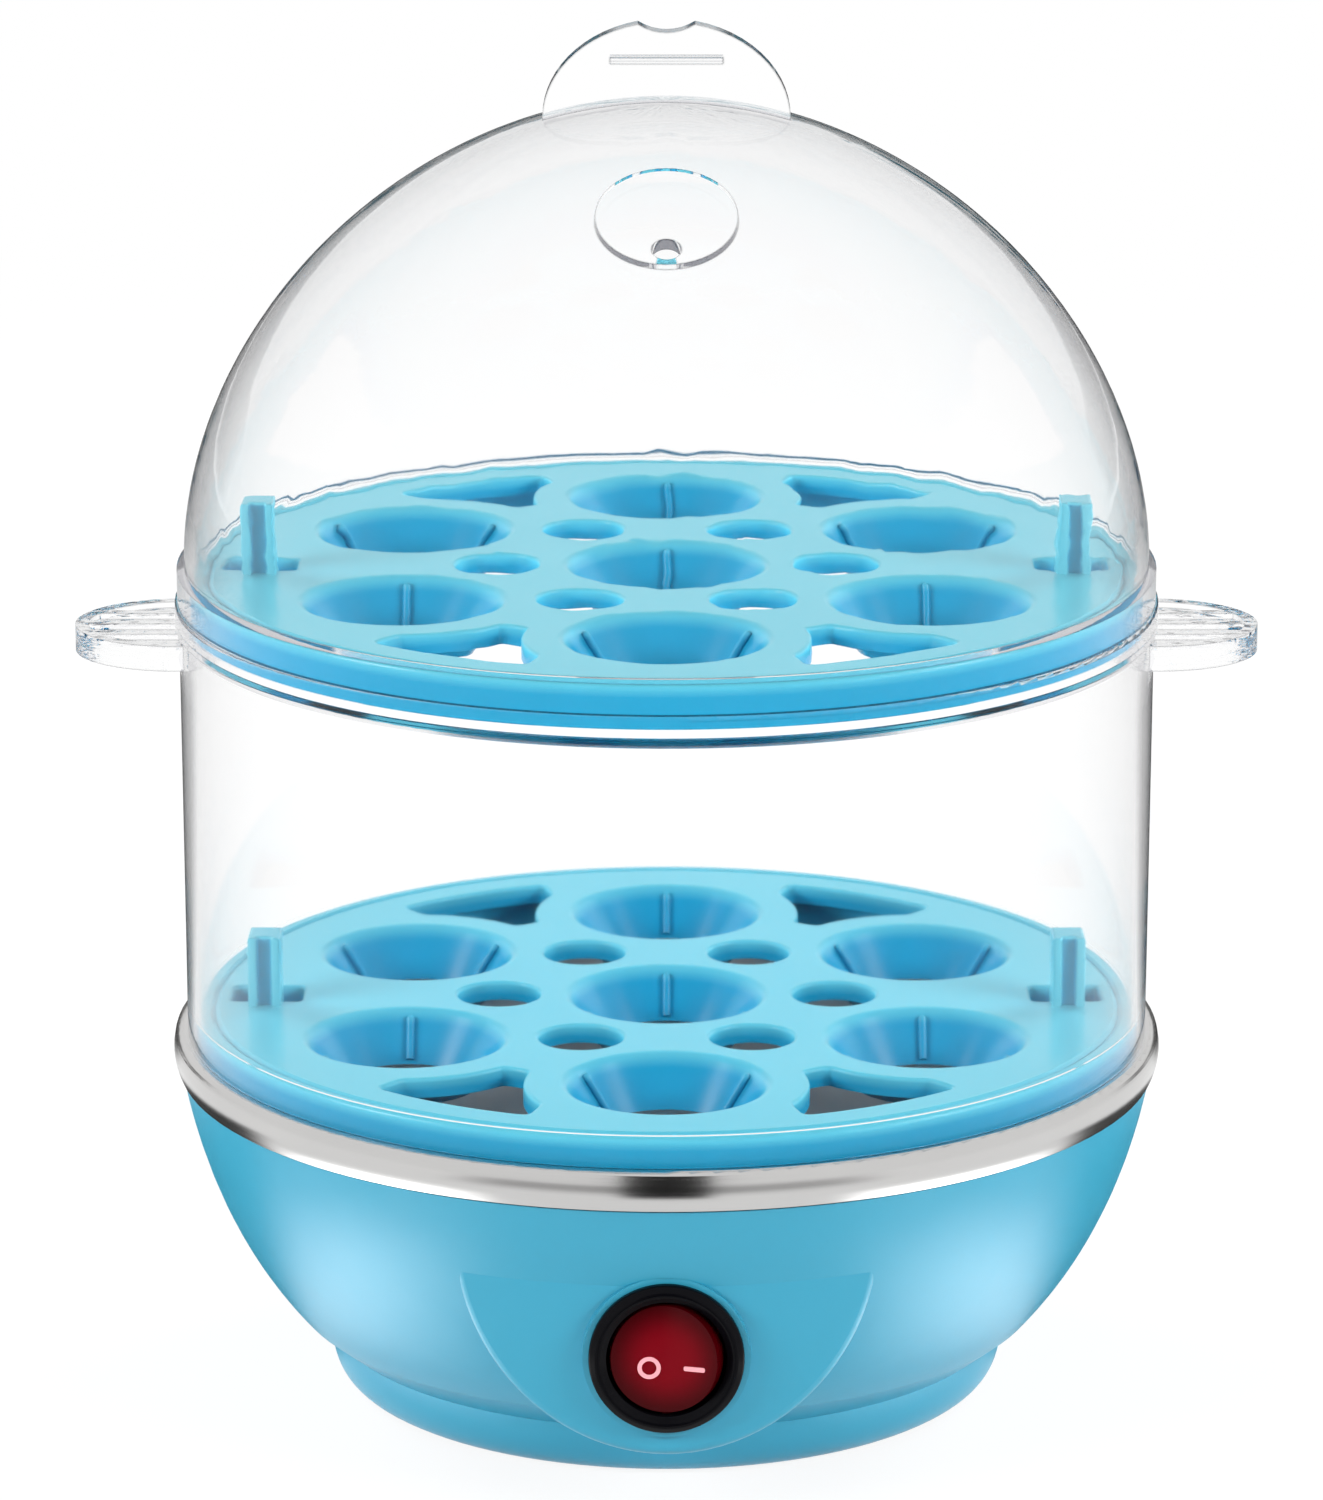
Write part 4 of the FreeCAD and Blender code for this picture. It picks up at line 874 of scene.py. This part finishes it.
def rocker_painted_shade(bench):
    """Share of painted shade on the rocker, which darkens it towards the bezel."""
    even_share, most = 0.3, 0.9
    low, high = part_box("switch_rocker")
    middle = (low + high) / 2
    reach = (high.x - low.x) / 2
    centred = {"Vector": bench.object_place(), "Location": (-middle.x, 0.0, -middle.z),
               "Scale": (1.0, 0.0, 1.0)}
    away = bench.distance(bench.out("ShaderNodeMapping", centred))
    return bench.ramp(away, even_share * reach, reach, most, interpolation_type="SMOOTHSTEP")


def clear_plastic(name, tint, edge, clean, wiped, trapped_tint, pebbled=False):
    """Clear moulded plastic that lets lamps through, with painted grey shade where it turns away from the
    view and along its edges.
    """
    turn, most_hits = 3.4, 4.5
    material, bench, shader = opened(name)
    path = bench.add("ShaderNodeLightPath").outputs
    first_hit = bench.math("LESS_THAN", path["Ray Depth"], 0.5)
    # Painted shade: the first surface a ray meets greys towards the edge colour where it turns away from the
    # view and along its edges
    away = bench.out("ShaderNodeLayerWeight", {"Blend": 0.5}, "Facing")
    painted_grey = bench.math("MAXIMUM", bench.math("POWER", away, turn), edge_shade_share(bench))
    marks = placed(bench, handling_marks, {"Clean": clean, "Wiped": wiped})
    bench.feed_all(shader, {
        "Base Color": bench.blend(painted_grey * first_hit, rgba(tint), rgba(edge)), "Roughness": marks["Roughness"],
        "Transmission Weight": 1.0, "IOR": 1.4, "Specular Tint": (0.15, 0.15, 0.15, 1.0)})
    if pebbled:
        bump(bench, shader, pebbles(bench), 0.4, PEBBLE_HEIGHT)
    # A ray that has met many walls goes straight on and loses a little light at each
    trapped = bench.math("GREATER_THAN", path["Ray Depth"], most_hits)
    passing = bench.blend(trapped, rgba(tint), rgba(trapped_tint))
    straight = bench.out("ShaderNodeBsdfTransparent", {"Color": passing})
    lets = bench.math("MAXIMUM", path["Is Shadow Ray"], path["Is Diffuse Ray"])
    lets = bench.math("MAXIMUM", lets, trapped)
    bench.surface(bench.mixed(lets, shader.outputs[0], straight))
    return material


def edge_shade_share(bench):
    """Near 1 close to an edge, where a rounded normal leaves the surface's own; it sets where painted grey
    shade lines run.
    """
    radius, rise, most = 0.45 * MM, 5.0, 0.9
    rounded_off = bench.out("ShaderNodeBevel", {"Radius": radius}, samples=4)
    plain = bench.out("ShaderNodeNewGeometry", output="Normal")
    match = bench.number("ShaderNodeVectorMath", {0: rounded_off, 1: plain}, "Value", operation="DOT_PRODUCT")
    return bench.math("MINIMUM", (1.0 - match) * rise, most)


def pebbles(bench):
    """Height of the pebbled grip on the ring's two ears, which stand out along X."""
    margin, scale = 1.5 * MM, 400.0
    place = bench.object_place()
    across = bench.math("ABSOLUTE", bench.axes(place)[0])
    on_ear = bench.math("GREATER_THAN", across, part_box("dome_lid")[1].x + margin)
    return on_ear * bench.out("ShaderNodeTexVoronoi", {"Vector": place, "Scale": scale}, "Distance")


def dish_share(bench):
    """1 on the pan's dish, inside its rim, where the sheet is matt."""
    rim = 3.0 * MM
    flat = bench.out("ShaderNodeMapping", {"Vector": bench.object_place(), "Scale": (1.0, 1.0, 0.0)})
    return bench.math("LESS_THAN", bench.distance(flat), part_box("lower_egg_tray")[1].x - rim)


def metal(name, tint, gloss, pitch=0.35, strength=0.08, matt=None):
    """Sheet metal with spun lines and a tone that drifts a little; a rule may say where it is matt."""
    line_share, matt_rough, matt_loss, dark_tone = 0.16, 0.35, 0.5, 0.9
    material, bench, shader = opened(name)
    lines = placed(bench, spun_lines, {"Pitch": pitch * MM})
    rough = (Number(bench, lines["Height"]) - 0.5) * line_share + gloss
    metallic = 1.0
    if matt:
        dull = matt(bench)
        rough = rough + dull * matt_rough
        metallic = 1.0 - dull * matt_loss
    bench.feed_all(shader, {
        "Base Color": bench.blend(lines["Tone"], rgba(tint, dark_tone), rgba(tint)), "Roughness": rough,
        "Metallic": metallic})
    bump(bench, shader, lines["Height"], strength, SPUN_HEIGHT)
    bench.surface(shader.outputs[0])
    return material


def dress(node, material):
    """Gives a carried-over CAD node its finish."""
    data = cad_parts[node].data
    data.materials.clear()
    data.materials.append(material)


class StageOperator(bpy.types.Operator):
    """Sets up the floor, the light, the dark flags and the camera"""

    bl_idname = "cooker.stage"
    bl_label = "Stage"

    # Camera fitted to the photograph, in metres
    DISTANCE = 1.11998
    ELEVATION = math.radians(15.156)
    TARGET = Vector((0.0, 0.0, 0.099656))
    FOCAL_PIXELS = 7271.07
    LONG_SIDE = 1500
    SENSOR = 36.0
    SHIFT_PIXELS = 5.0

    WHITE = (1, 1, 1, 1)
    SIDES = ((-1, "left"), (1, "right"))
    SOFTBOX = (0.5, 0.25)      # width and height of a lamp, in metres
    FLOOR_HALF = 6.0
    GLOW_FROM, GLOW_TO = 0.2, 0.9  # the floor turns to plain white between these distances
    CARD_STEPS = 16
    CARD_LIFT = 0.5 * MM

    def execute(self, context):
        settings = context.scene.cooker_stage
        context.scene.view_settings.view_transform = "Standard"
        self.camera(context)
        self.world(context, settings.ambient)
        self.floor(settings)
        self.lamps(settings)
        self.cards(settings)
        return {"FINISHED"}

    def camera(self, context):
        data = bpy.data.cameras.new("camera")
        data.sensor_width = self.SENSOR
        data.lens = self.SENSOR * self.FOCAL_PIXELS / self.LONG_SIDE
        data.shift_x = -self.SHIFT_PIXELS / self.LONG_SIDE
        camera = shown("camera", data)
        back = Vector((0.0, -math.cos(self.ELEVATION), math.sin(self.ELEVATION)))
        camera.location = self.TARGET + back * self.DISTANCE
        camera.rotation_euler = (-back).to_track_quat("-Z", "Y").to_euler()
        context.scene.camera = camera

    def seen(self, bench):
        """1 for camera, mirror and glass rays, which show a white background."""
        path = bench.add("ShaderNodeLightPath").outputs
        mirror = bench.math("MAXIMUM", path["Is Glossy Ray"], path["Is Transmission Ray"])
        return bench.math("MAXIMUM", path["Is Camera Ray"], mirror)

    def world(self, context, ambient):
        world = bpy.data.worlds.new("studio")
        context.scene.world = world
        bench = emptied(world)
        strength = ambient + self.seen(bench) * (1.0 - ambient)
        sky = bench.out("ShaderNodeBackground", {"Color": self.WHITE, "Strength": strength})
        bench.add("ShaderNodeOutputWorld", {"Surface": sky})

    def floor(self, settings):
        """White floor that glows for camera, mirror and glass rays and still takes the object's shadow."""
        half = self.FLOOR_HALF
        corners = [(-half, -half, 0), (half, -half, 0), (half, half, 0), (-half, half, 0)]
        mesh = bpy.data.meshes.new("floor")
        mesh.from_pydata(corners, [], [(0, 1, 2, 3)])
        floor = shown("floor", mesh)
        material = bpy.data.materials.new("floor_white")
        bench = emptied(material)
        shade = settings.floor
        matt = bench.out("ShaderNodeBsdfDiffuse", {"Color": (shade, shade, shade, 1)})
        glow = bench.out("ShaderNodeEmission", {"Color": self.WHITE, "Strength": 1.0})
        away = bench.distance(bench.object_place())
        far = bench.ramp(away, self.GLOW_FROM, self.GLOW_TO, 1.0)
        glow_share = settings.floor_glow + far * (1.0 - settings.floor_glow)
        bench.surface(bench.mixed(self.seen(bench) * glow_share, matt, glow))
        mesh.materials.append(material)

    def lamps(self, settings):
        """Softboxes beside, behind and above the object, and small lamps whose gloss only the trays show."""
        glossed = bpy.data.collections.new(GLOSSED)
        for side, name in self.SIDES:
            self.lamp("side_lamp_" + name, settings.side_power, azimuth=side * 58, elevation=20)
            self.lamp("rear_lamp_" + name, settings.rear_power, azimuth=side * 132, elevation=20)
            glint = self.lamp("glint_lamp_" + name, settings.glint_power, azimuth=side * 78, elevation=32,
                              size=(0.3, 0.3))
            glint.visible_glossy = True
            glint.visible_diffuse = False
            glint.light_linking.receiver_collection = glossed
        self.lamp("top_lamp", settings.top_power, azimuth=0, elevation=78, distance=1.1, size=(0.7, 0.7))

    def lamp(self, name, watts, azimuth, elevation, distance=0.95, size=SOFTBOX):
        """Softbox on a sphere round the object; azimuth 0 is in front, 90 on the right."""
        data = bpy.data.lights.new(name, "AREA")
        data.shape = "RECTANGLE"
        data.size, data.size_y = size
        data.energy = watts
        around, above = math.radians(azimuth), math.radians(elevation)
        flat = math.cos(above)
        way = Vector((math.sin(around) * flat, -math.cos(around) * flat, math.sin(above)))
        turn = way.to_track_quat("Z", "Y").to_matrix().to_4x4()
        lamp = shown(name, data)
        lamp.matrix_world = Matrix.Translation(self.TARGET + way * distance) @ turn
        lamp.visible_glossy = False
        lamp.visible_transmission = False
        return lamp

    def cards(self, settings):
        """Lit cards that the base mirrors, and dark ones that give clear covers and steel their lines."""
        for side, name in self.SIDES:
            self.floor_card("bounce_" + name, bearings=(side * 30, side * 84), radii=(0.06, 0.128),
                            glow=settings.bounce, edge=1.0)
            self.floor_card("near_flag_" + name, bearings=(side * 84, side * 160), radii=(0.04, 0.17),
                            glow=0.05, edge=2.5)
            self.floor_card("far_flag_" + name, bearings=(side * 136, side * 176), radii=(0.171, 0.5),
                            glow=0.05, edge=2.0)
        self.floor_card("rear_flag", bearings=(118, 242), radii=(0.45, 3.0), glow=0.06, edge=3.0)
        self.standing_card("rear_wall", place=2.6, width=6.0, height=0.55, glow=0.06, edge=3.0)
        self.floor_card("flag_low", bearings=(-44, 44), radii=(0.17, 0.7), glow=0.5, edge=3.0)
        self.standing_card("flag_front", place=-0.15, width=0.04, height=0.12, glow=0.0, edge=None)

    def floor_card(self, name, bearings, radii, glow, edge):
        """Studio card on the floor, a sector round the object: lit for a bounce, or dark for a flag."""
        (start, end), (near, far) = bearings, radii

        def place(along, over):
            radius = near + (far - near) * over
            bearing = math.radians(start + (end - start) * along)
            return radius * math.sin(bearing), -radius * math.cos(bearing), self.CARD_LIFT

        self.mirror_card(name, place, glow, edge)

    def standing_card(self, name, place, width, height, glow, edge):
        """Card that stands upright before or behind the object."""
        self.mirror_card(name, lambda along, over: (width * (along - 0.5), place, height * over), glow, edge)

    def mirror_card(self, name, place, glow, edge):
        """Card that only mirror rays meet; a number for its edge makes it fade out there."""
        steps = self.CARD_STEPS
        across = steps + 1
        shares = [(step / steps, row / steps) for row in range(across) for step in range(across)]
        faces = [(first, first + 1, first + across + 1, first + across)
                 for row in range(steps) for first in range(row * across, row * across + steps)]
        mesh = bpy.data.meshes.new(name)
        mesh.from_pydata([place(along, over) for along, over in shares], [], faces)
        fade = mesh.attributes.new("fade", "FLOAT", "POINT")
        for point, (along, over) in zip(fade.data, shares):
            point.value = 1.0
            for part in (along, over) if edge else ():
                point.value *= min(1.0, edge * math.sin(math.pi * part))
        material = bpy.data.materials.new(name + "_card")
        bench = emptied(material)
        light = bench.out("ShaderNodeEmission", {"Color": self.WHITE, "Strength": glow})
        clear = bench.out("ShaderNodeBsdfTransparent")
        depth = bench.out("ShaderNodeLightPath", output="Transmission Depth")
        passed = bench.math("GREATER_THAN", depth, 0.5)
        share_left = bench.number("ShaderNodeAttribute", output="Fac", attribute_name="fade")
        bench.surface(bench.mixed(share_left * (1.0 - passed), clear, light))
        mesh.materials.append(material)
        card = shown(name, mesh)
        for kind_of_ray in ("camera", "diffuse", "transmission", "shadow"):
            setattr(card, "visible_" + kind_of_ray, False)


class TraysOperator(bpy.types.Operator):
    """Grows both egg trays from one rule"""

    bl_idname = "cooker.egg_trays"
    bl_label = "Egg trays"

    def execute(self, context):
        sizes = context.scene.cooker_tray
        finish = context.scene.cooker_finish
        # Painted shade: the tray darkens towards its shade colour in cups, vents and post channels
        material = plastic("tray_plastic", finish.tray_blue, 0.24, shade_and_tone_tint=finish.tray_shade_and_tone,
                           depth=tray_depth, specular=0.25)
        tree = tray_tree()
        guides = {label: guide(key_of(label), outline(sizes)) for label, outline in TRAY_OUTLINES.items()}
        values = {label: getattr(sizes, key_of(label)) for label in TRAY_LENGTHS + TRAY_COUNTS}
        values.update(guides, Material=material)
        for node, body in (("lower_egg_tray", "lower_tray"), ("upper_egg_tray", "upper_tray")):
            values["Top"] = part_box(node)[0].z + max(sizes.cup_depth, sizes.locator_drop)
            piece = grown(node + "_moulding", tree, values)
            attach(piece, body)
            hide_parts(node)
            bpy.data.collections[GLOSSED].objects.link(piece)
        for one in guides.values():
            bpy.data.objects.remove(one)
        return {"FINISHED"}


class CoversOperator(bpy.types.Operator):
    """Finishes the clear dome and the clear steam ring"""

    bl_idname = "cooker.clear_covers"
    bl_label = "Clear covers"

    def execute(self, context):
        finish = context.scene.cooker_finish
        dome = clear_plastic("dome_plastic", finish.clear, finish.clear_edge_shade, clean=0.01, wiped=0.05,
                             trapped_tint=DIM)
        ring = clear_plastic("ring_plastic", finish.clear, finish.clear_edge_shade, clean=0.015, wiped=0.06,
                             trapped_tint=(0.9, 0.9, 0.91), pebbled=True)
        dress("dome_lid", dome)
        dress("steam_ring", ring)
        return {"FINISHED"}


class PanOperator(bpy.types.Operator):
    """Finishes the steel pan and its gasket"""

    bl_idname = "cooker.heating_pan"
    bl_label = "Heating pan"

    def execute(self, context):
        finish = context.scene.cooker_finish
        dress("heating_pan", metal("pan_steel", finish.steel, 0.2, strength=0.05, matt=dish_share))
        dress("pan_gasket", plastic("gasket_rubber", finish.rubber, 0.6, strength=0.2))
        return {"FINISHED"}


class BaseOperator(bpy.types.Operator):
    """Finishes the moulded base and the cord gland"""

    bl_idname = "cooker.base"
    bl_label = "Base"

    def execute(self, context):
        finish = context.scene.cooker_finish
        dress("base_housing", plastic("housing_plastic", finish.housing_blue, 0.33, deep=0.8))
        dress("cord_gland", plastic("gland_plastic", finish.rubber, 0.45, strength=0.15))
        return {"FINISHED"}


class SwitchOperator(bpy.types.Operator):
    """Finishes the switch and prints the marks on its rocker"""

    bl_idname = "cooker.switch"
    bl_label = "Switch"

    # Places of the marks across and above the rocker's middle
    OFF_PLACE = (-2.3 * MM, -1.4 * MM)
    ON_PLACE = (4.4 * MM, -1.3 * MM)
    LOOP_STEPS = 40
    DASH_CORNER = 0.3 * MM
    SINK = 0.1 * MM            # the marks reach this far into the rocker

    def execute(self, context):
        sizes = context.scene.cooker_detail
        finish = context.scene.cooker_finish
        bezel = plastic("bezel_plastic", finish.switch_black, 0.25, strength=0.04, specular=0.07)
        # Painted shade: the rocker darkens towards its bezel
        red = plastic("rocker_plastic", finish.rocker_red, 0.2, deep=0.15, strength=0.03, depth=rocker_painted_shade,
                      specular=0.08)
        ink = plastic("mark_ink", finish.mark, 0.5, deep=0.9, strength=0.03)
        dress("switch_housing", bezel)
        dress("switch_rocker", red)
        for name, outlines in (("off_mark", self.loop(sizes)), ("on_mark", self.dash(sizes))):
            mesh = self.printed(name, sizes, outlines)
            mesh.materials.append(ink)
            piece = shown(name, mesh)
            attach(piece, "rocker")
        return {"FINISHED"}

    def loop(self, sizes):
        """Outer and inner outline of the round mark."""
        middle_x, middle_z = self.OFF_PLACE
        turns = [2 * math.pi * step / self.LOOP_STEPS for step in range(self.LOOP_STEPS)]
        stroke = sizes.ring_stroke / 2
        return [[(middle_x + radius * math.cos(turn), middle_z + radius * math.sin(turn)) for turn in turns]
                for radius in (sizes.ring_radius + stroke, sizes.ring_radius - stroke)]

    def dash(self, sizes):
        """Outline of the dash."""
        middle_x, middle_z = self.ON_PLACE
        half_x, half_z = sizes.dash_length / 2, sizes.dash_width / 2
        corners = [(half_x, half_z), (-half_x, half_z), (-half_x, -half_z), (half_x, -half_z)]
        return [[(x + middle_x, z + middle_z) for x, z in rounded(corners, self.DASH_CORNER, 3)]]

    def on_face(self, sizes, x, z, rise):
        """Point of the tipped, dished face of the rocker, raised along its face."""
        y = -sizes.rocker_face - sizes.rocker_dish + math.sqrt(sizes.rocker_dish ** 2 - x ** 2) - rise
        turn = Matrix.Rotation(-sizes.rocker_tilt, 3, "Z")
        return turn @ Vector((x, y, z)) + Vector((0, sizes.pivot_depth - sizes.seat, sizes.switch_z))

    def printed(self, name, sizes, outlines):
        """Thin raised print that follows the rocker's face."""
        shape = bmesh.new()
        fronts = []
        backs = []
        for outline in outlines:
            fronts.append([shape.verts.new(self.on_face(sizes, x, z, sizes.mark_rise)) for x, z in outline])
            backs.append([shape.verts.new(self.on_face(sizes, x, z, -self.SINK)) for x, z in outline])
        for front, back in zip(fronts, backs):
            bridged(shape, front, back)
        for side in (fronts, backs):
            if len(side) == 1:
                shape.faces.new(side[0])
            else:
                bridged(shape, *side)
        return closed_mesh(name, shape)


class UndersideOperator(bpy.types.Operator):
    """Makes the rubber feet and the cover screws, and finishes the bottom cover"""

    bl_idname = "cooker.underside"
    bl_label = "Underside"

    FEET = 4
    SCREWS = 3
    FIRST_FOOT = math.radians(45)
    FIRST_SCREW = math.radians(30)

    # Foot: rounding, dimple, stem and the bulb behind the cover
    FOOT_EDGE = 0.35 * MM
    DIMPLE_RADIUS = 1.6 * MM
    DIMPLE_DEPTH = 0.4 * MM
    STEM_RADIUS = 2.0 * MM
    COVER_WALL = 2.0 * MM
    BULB_BELLY = 0.7 * MM
    BULB_HEIGHT = 1.3 * MM

    # Screw: head, drive recess and point
    HEAD_HEIGHT = 1.3 * MM
    RECESS_RADIUS = 1.1 * MM
    RECESS_FLOOR = 0.7 * MM
    RECESS_DEPTH = 1.0 * MM
    POINT_RADIUS = 0.4 * MM
    POINT_LENGTH = 1.0 * MM

    def execute(self, context):
        sizes = context.scene.cooker_detail
        finish = context.scene.cooker_finish
        dress("bottom_cover", plastic("cover_plastic", finish.housing_blue, 0.42, deep=0.75, strength=0.12))
        tree = circle_tree()
        rubber = plastic("feet_rubber", finish.rubber, 0.65, strength=0.25)
        zinc = metal("screw_zinc", finish.steel, 0.3, pitch=0.6)
        feet = {"Number": self.FEET, "Circle": sizes.foot_circle, "First Bearing": self.FIRST_FOOT,
                "Material": rubber}
        screws = {"Number": self.SCREWS, "Circle": sizes.screw_circle, "First Bearing": self.FIRST_SCREW,
                  "Material": zinc}
        self.spread(tree, "rubber_feet", self.foot(sizes), feet, "feet_rubber")
        self.spread(tree, "cover_screws", self.screw(sizes), screws, "zinc_steel")
        return {"FINISHED"}

    def spread(self, tree, node, mesh, values, slot):
        single = shown(node + "_single", mesh)
        piece = grown(node + "_set", tree, {"Piece": single, **values})
        bpy.data.objects.remove(single)
        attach(piece, "base")
        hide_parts(node)

    def foot(self, sizes):
        """Round pad with a dimple below, a stem and a bulb that holds it in the cover."""
        wide, high, edge, stem = sizes.foot_radius, sizes.foot_height, self.FOOT_EDGE, self.STEM_RADIUS
        cover_top = sizes.cover_z + self.COVER_WALL
        bulb_top = cover_top + self.BULB_HEIGHT
        section = [(0, self.DIMPLE_DEPTH), (self.DIMPLE_RADIUS - edge, self.DIMPLE_DEPTH),
                   (self.DIMPLE_RADIUS, 0), (wide - edge, 0), (wide - edge * 0.3, edge * 0.3), (wide, edge),
                   (wide, high), (stem, high), (stem, cover_top), (stem * 1.35, cover_top),
                   (stem * 1.3, cover_top + self.BULB_BELLY), (stem * 0.9, bulb_top), (0, bulb_top)]
        return turned_mesh("foot", section)

    def screw(self, sizes):
        """Countersunk screw, head down, with a round drive recess."""
        head, shank, low = sizes.screw_head, sizes.screw_shank, sizes.cover_z
        top = low + sizes.screw_length
        section = [(0, low + self.RECESS_DEPTH), (self.RECESS_FLOOR, low + 0.9 * self.RECESS_DEPTH),
                   (self.RECESS_RADIUS, low), (head, low), (shank, low + self.HEAD_HEIGHT),
                   (shank, top - self.POINT_LENGTH), (self.POINT_RADIUS, top), (0, top)]
        return turned_mesh("screw", section, 32)


class InsideOperator(bpy.types.Operator):
    """Finishes the heater, the fastenings and the wiring inside the base"""

    bl_idname = "cooker.inside"
    bl_label = "Inside"

    GLASS = (0.95, 0.8, 0.7)
    # Painted shade: the lamp glass greys towards this colour where it turns away from the view and along its
    # edges
    GLASS_EDGE_SHADE = (0.6, 0.5, 0.4)

    # Colours as they show on a screen, and how rough each finish is
    METALS = {
        "heater_plate": ((206, 207, 210), 0.4), "heater_tube": ((120, 118, 116), 0.45),
        "pan_stud": ((190, 190, 192), 0.3), "retaining_bar": ((196, 196, 198), 0.35),
        "pan_nut": ((190, 190, 192), 0.3), "switch_terminals": ((214, 186, 110), 0.3),
    }
    PLASTICS = {
        "thermostat": ((44, 42, 42), 0.4), "thermal_fuse": ((150, 120, 80), 0.4),
        "gland_nut": ((34, 34, 36), 0.45), "terminal_block": ((232, 230, 222), 0.4),
        "live_lead": ((110, 66, 34), 0.45), "switched_lead": ((30, 30, 32), 0.45),
        "heater_lead": ((30, 30, 32), 0.45), "neutral_lead": ((40, 84, 170), 0.45),
        "earth_lead": ((90, 150, 50), 0.45),
    }

    def execute(self, context):
        for node, (screen, gloss) in self.METALS.items():
            dress(node, metal(node + "_metal", [linear(part) for part in screen], gloss))
        for node, (screen, gloss) in self.PLASTICS.items():
            dress(node, plastic(node + "_finish", [linear(part) for part in screen], gloss))
        glass = clear_plastic("lamp_glass", self.GLASS, self.GLASS_EDGE_SHADE, clean=0.02, wiped=0.08,
                              trapped_tint=DIM)
        dress("neon_lamp", glass)
        return {"FINISHED"}


class CookerPanel(bpy.types.Panel):
    """Lists what the egg cooker is made of"""

    bl_idname = "VIEW3D_PT_cooker"
    bl_label = "Egg cooker"
    bl_space_type = "VIEW_3D"
    bl_region_type = "UI"
    bl_category = "Egg cooker"

    def draw(self, context):
        for operator in OPERATORS:
            self.layout.operator(operator.bl_idname)
        for name, group_class in SETTINGS.items():
            box = self.layout.box()
            box.label(text=group_class.__doc__)
            for key in group_class.__annotations__:
                box.prop(getattr(context.scene, name), key)


OPERATORS = (StageOperator, TraysOperator, CoversOperator, PanOperator, BaseOperator, SwitchOperator,
             UndersideOperator, InsideOperator)
SETTINGS = {"cooker_tray": TraySizes, "cooker_detail": DetailSizes, "cooker_finish": Finishes,
            "cooker_stage": StageSettings}


def register():
    for group_class in SETTINGS.values():
        bpy.utils.register_class(group_class)
    for name, group_class in SETTINGS.items():
        setattr(bpy.types.Scene, name, bpy.props.PointerProperty(type=group_class))
    for operator in OPERATORS:
        bpy.utils.register_class(operator)
    bpy.utils.register_class(CookerPanel)


def unregister():
    bpy.utils.unregister_class(CookerPanel)
    for operator in reversed(OPERATORS):
        bpy.utils.unregister_class(operator)
    for name, group_class in reversed(SETTINGS.items()):
        delattr(bpy.types.Scene, name)
        bpy.utils.unregister_class(group_class)


def main():
    register()
    bpy.ops.cooker.stage()
    bpy.ops.cooker.egg_trays()
    bpy.ops.cooker.clear_covers()
    bpy.ops.cooker.heating_pan()
    bpy.ops.cooker.base()
    bpy.ops.cooker.switch()
    bpy.ops.cooker.underside()
    bpy.ops.cooker.inside()


if __name__ == "__main__":
    main()
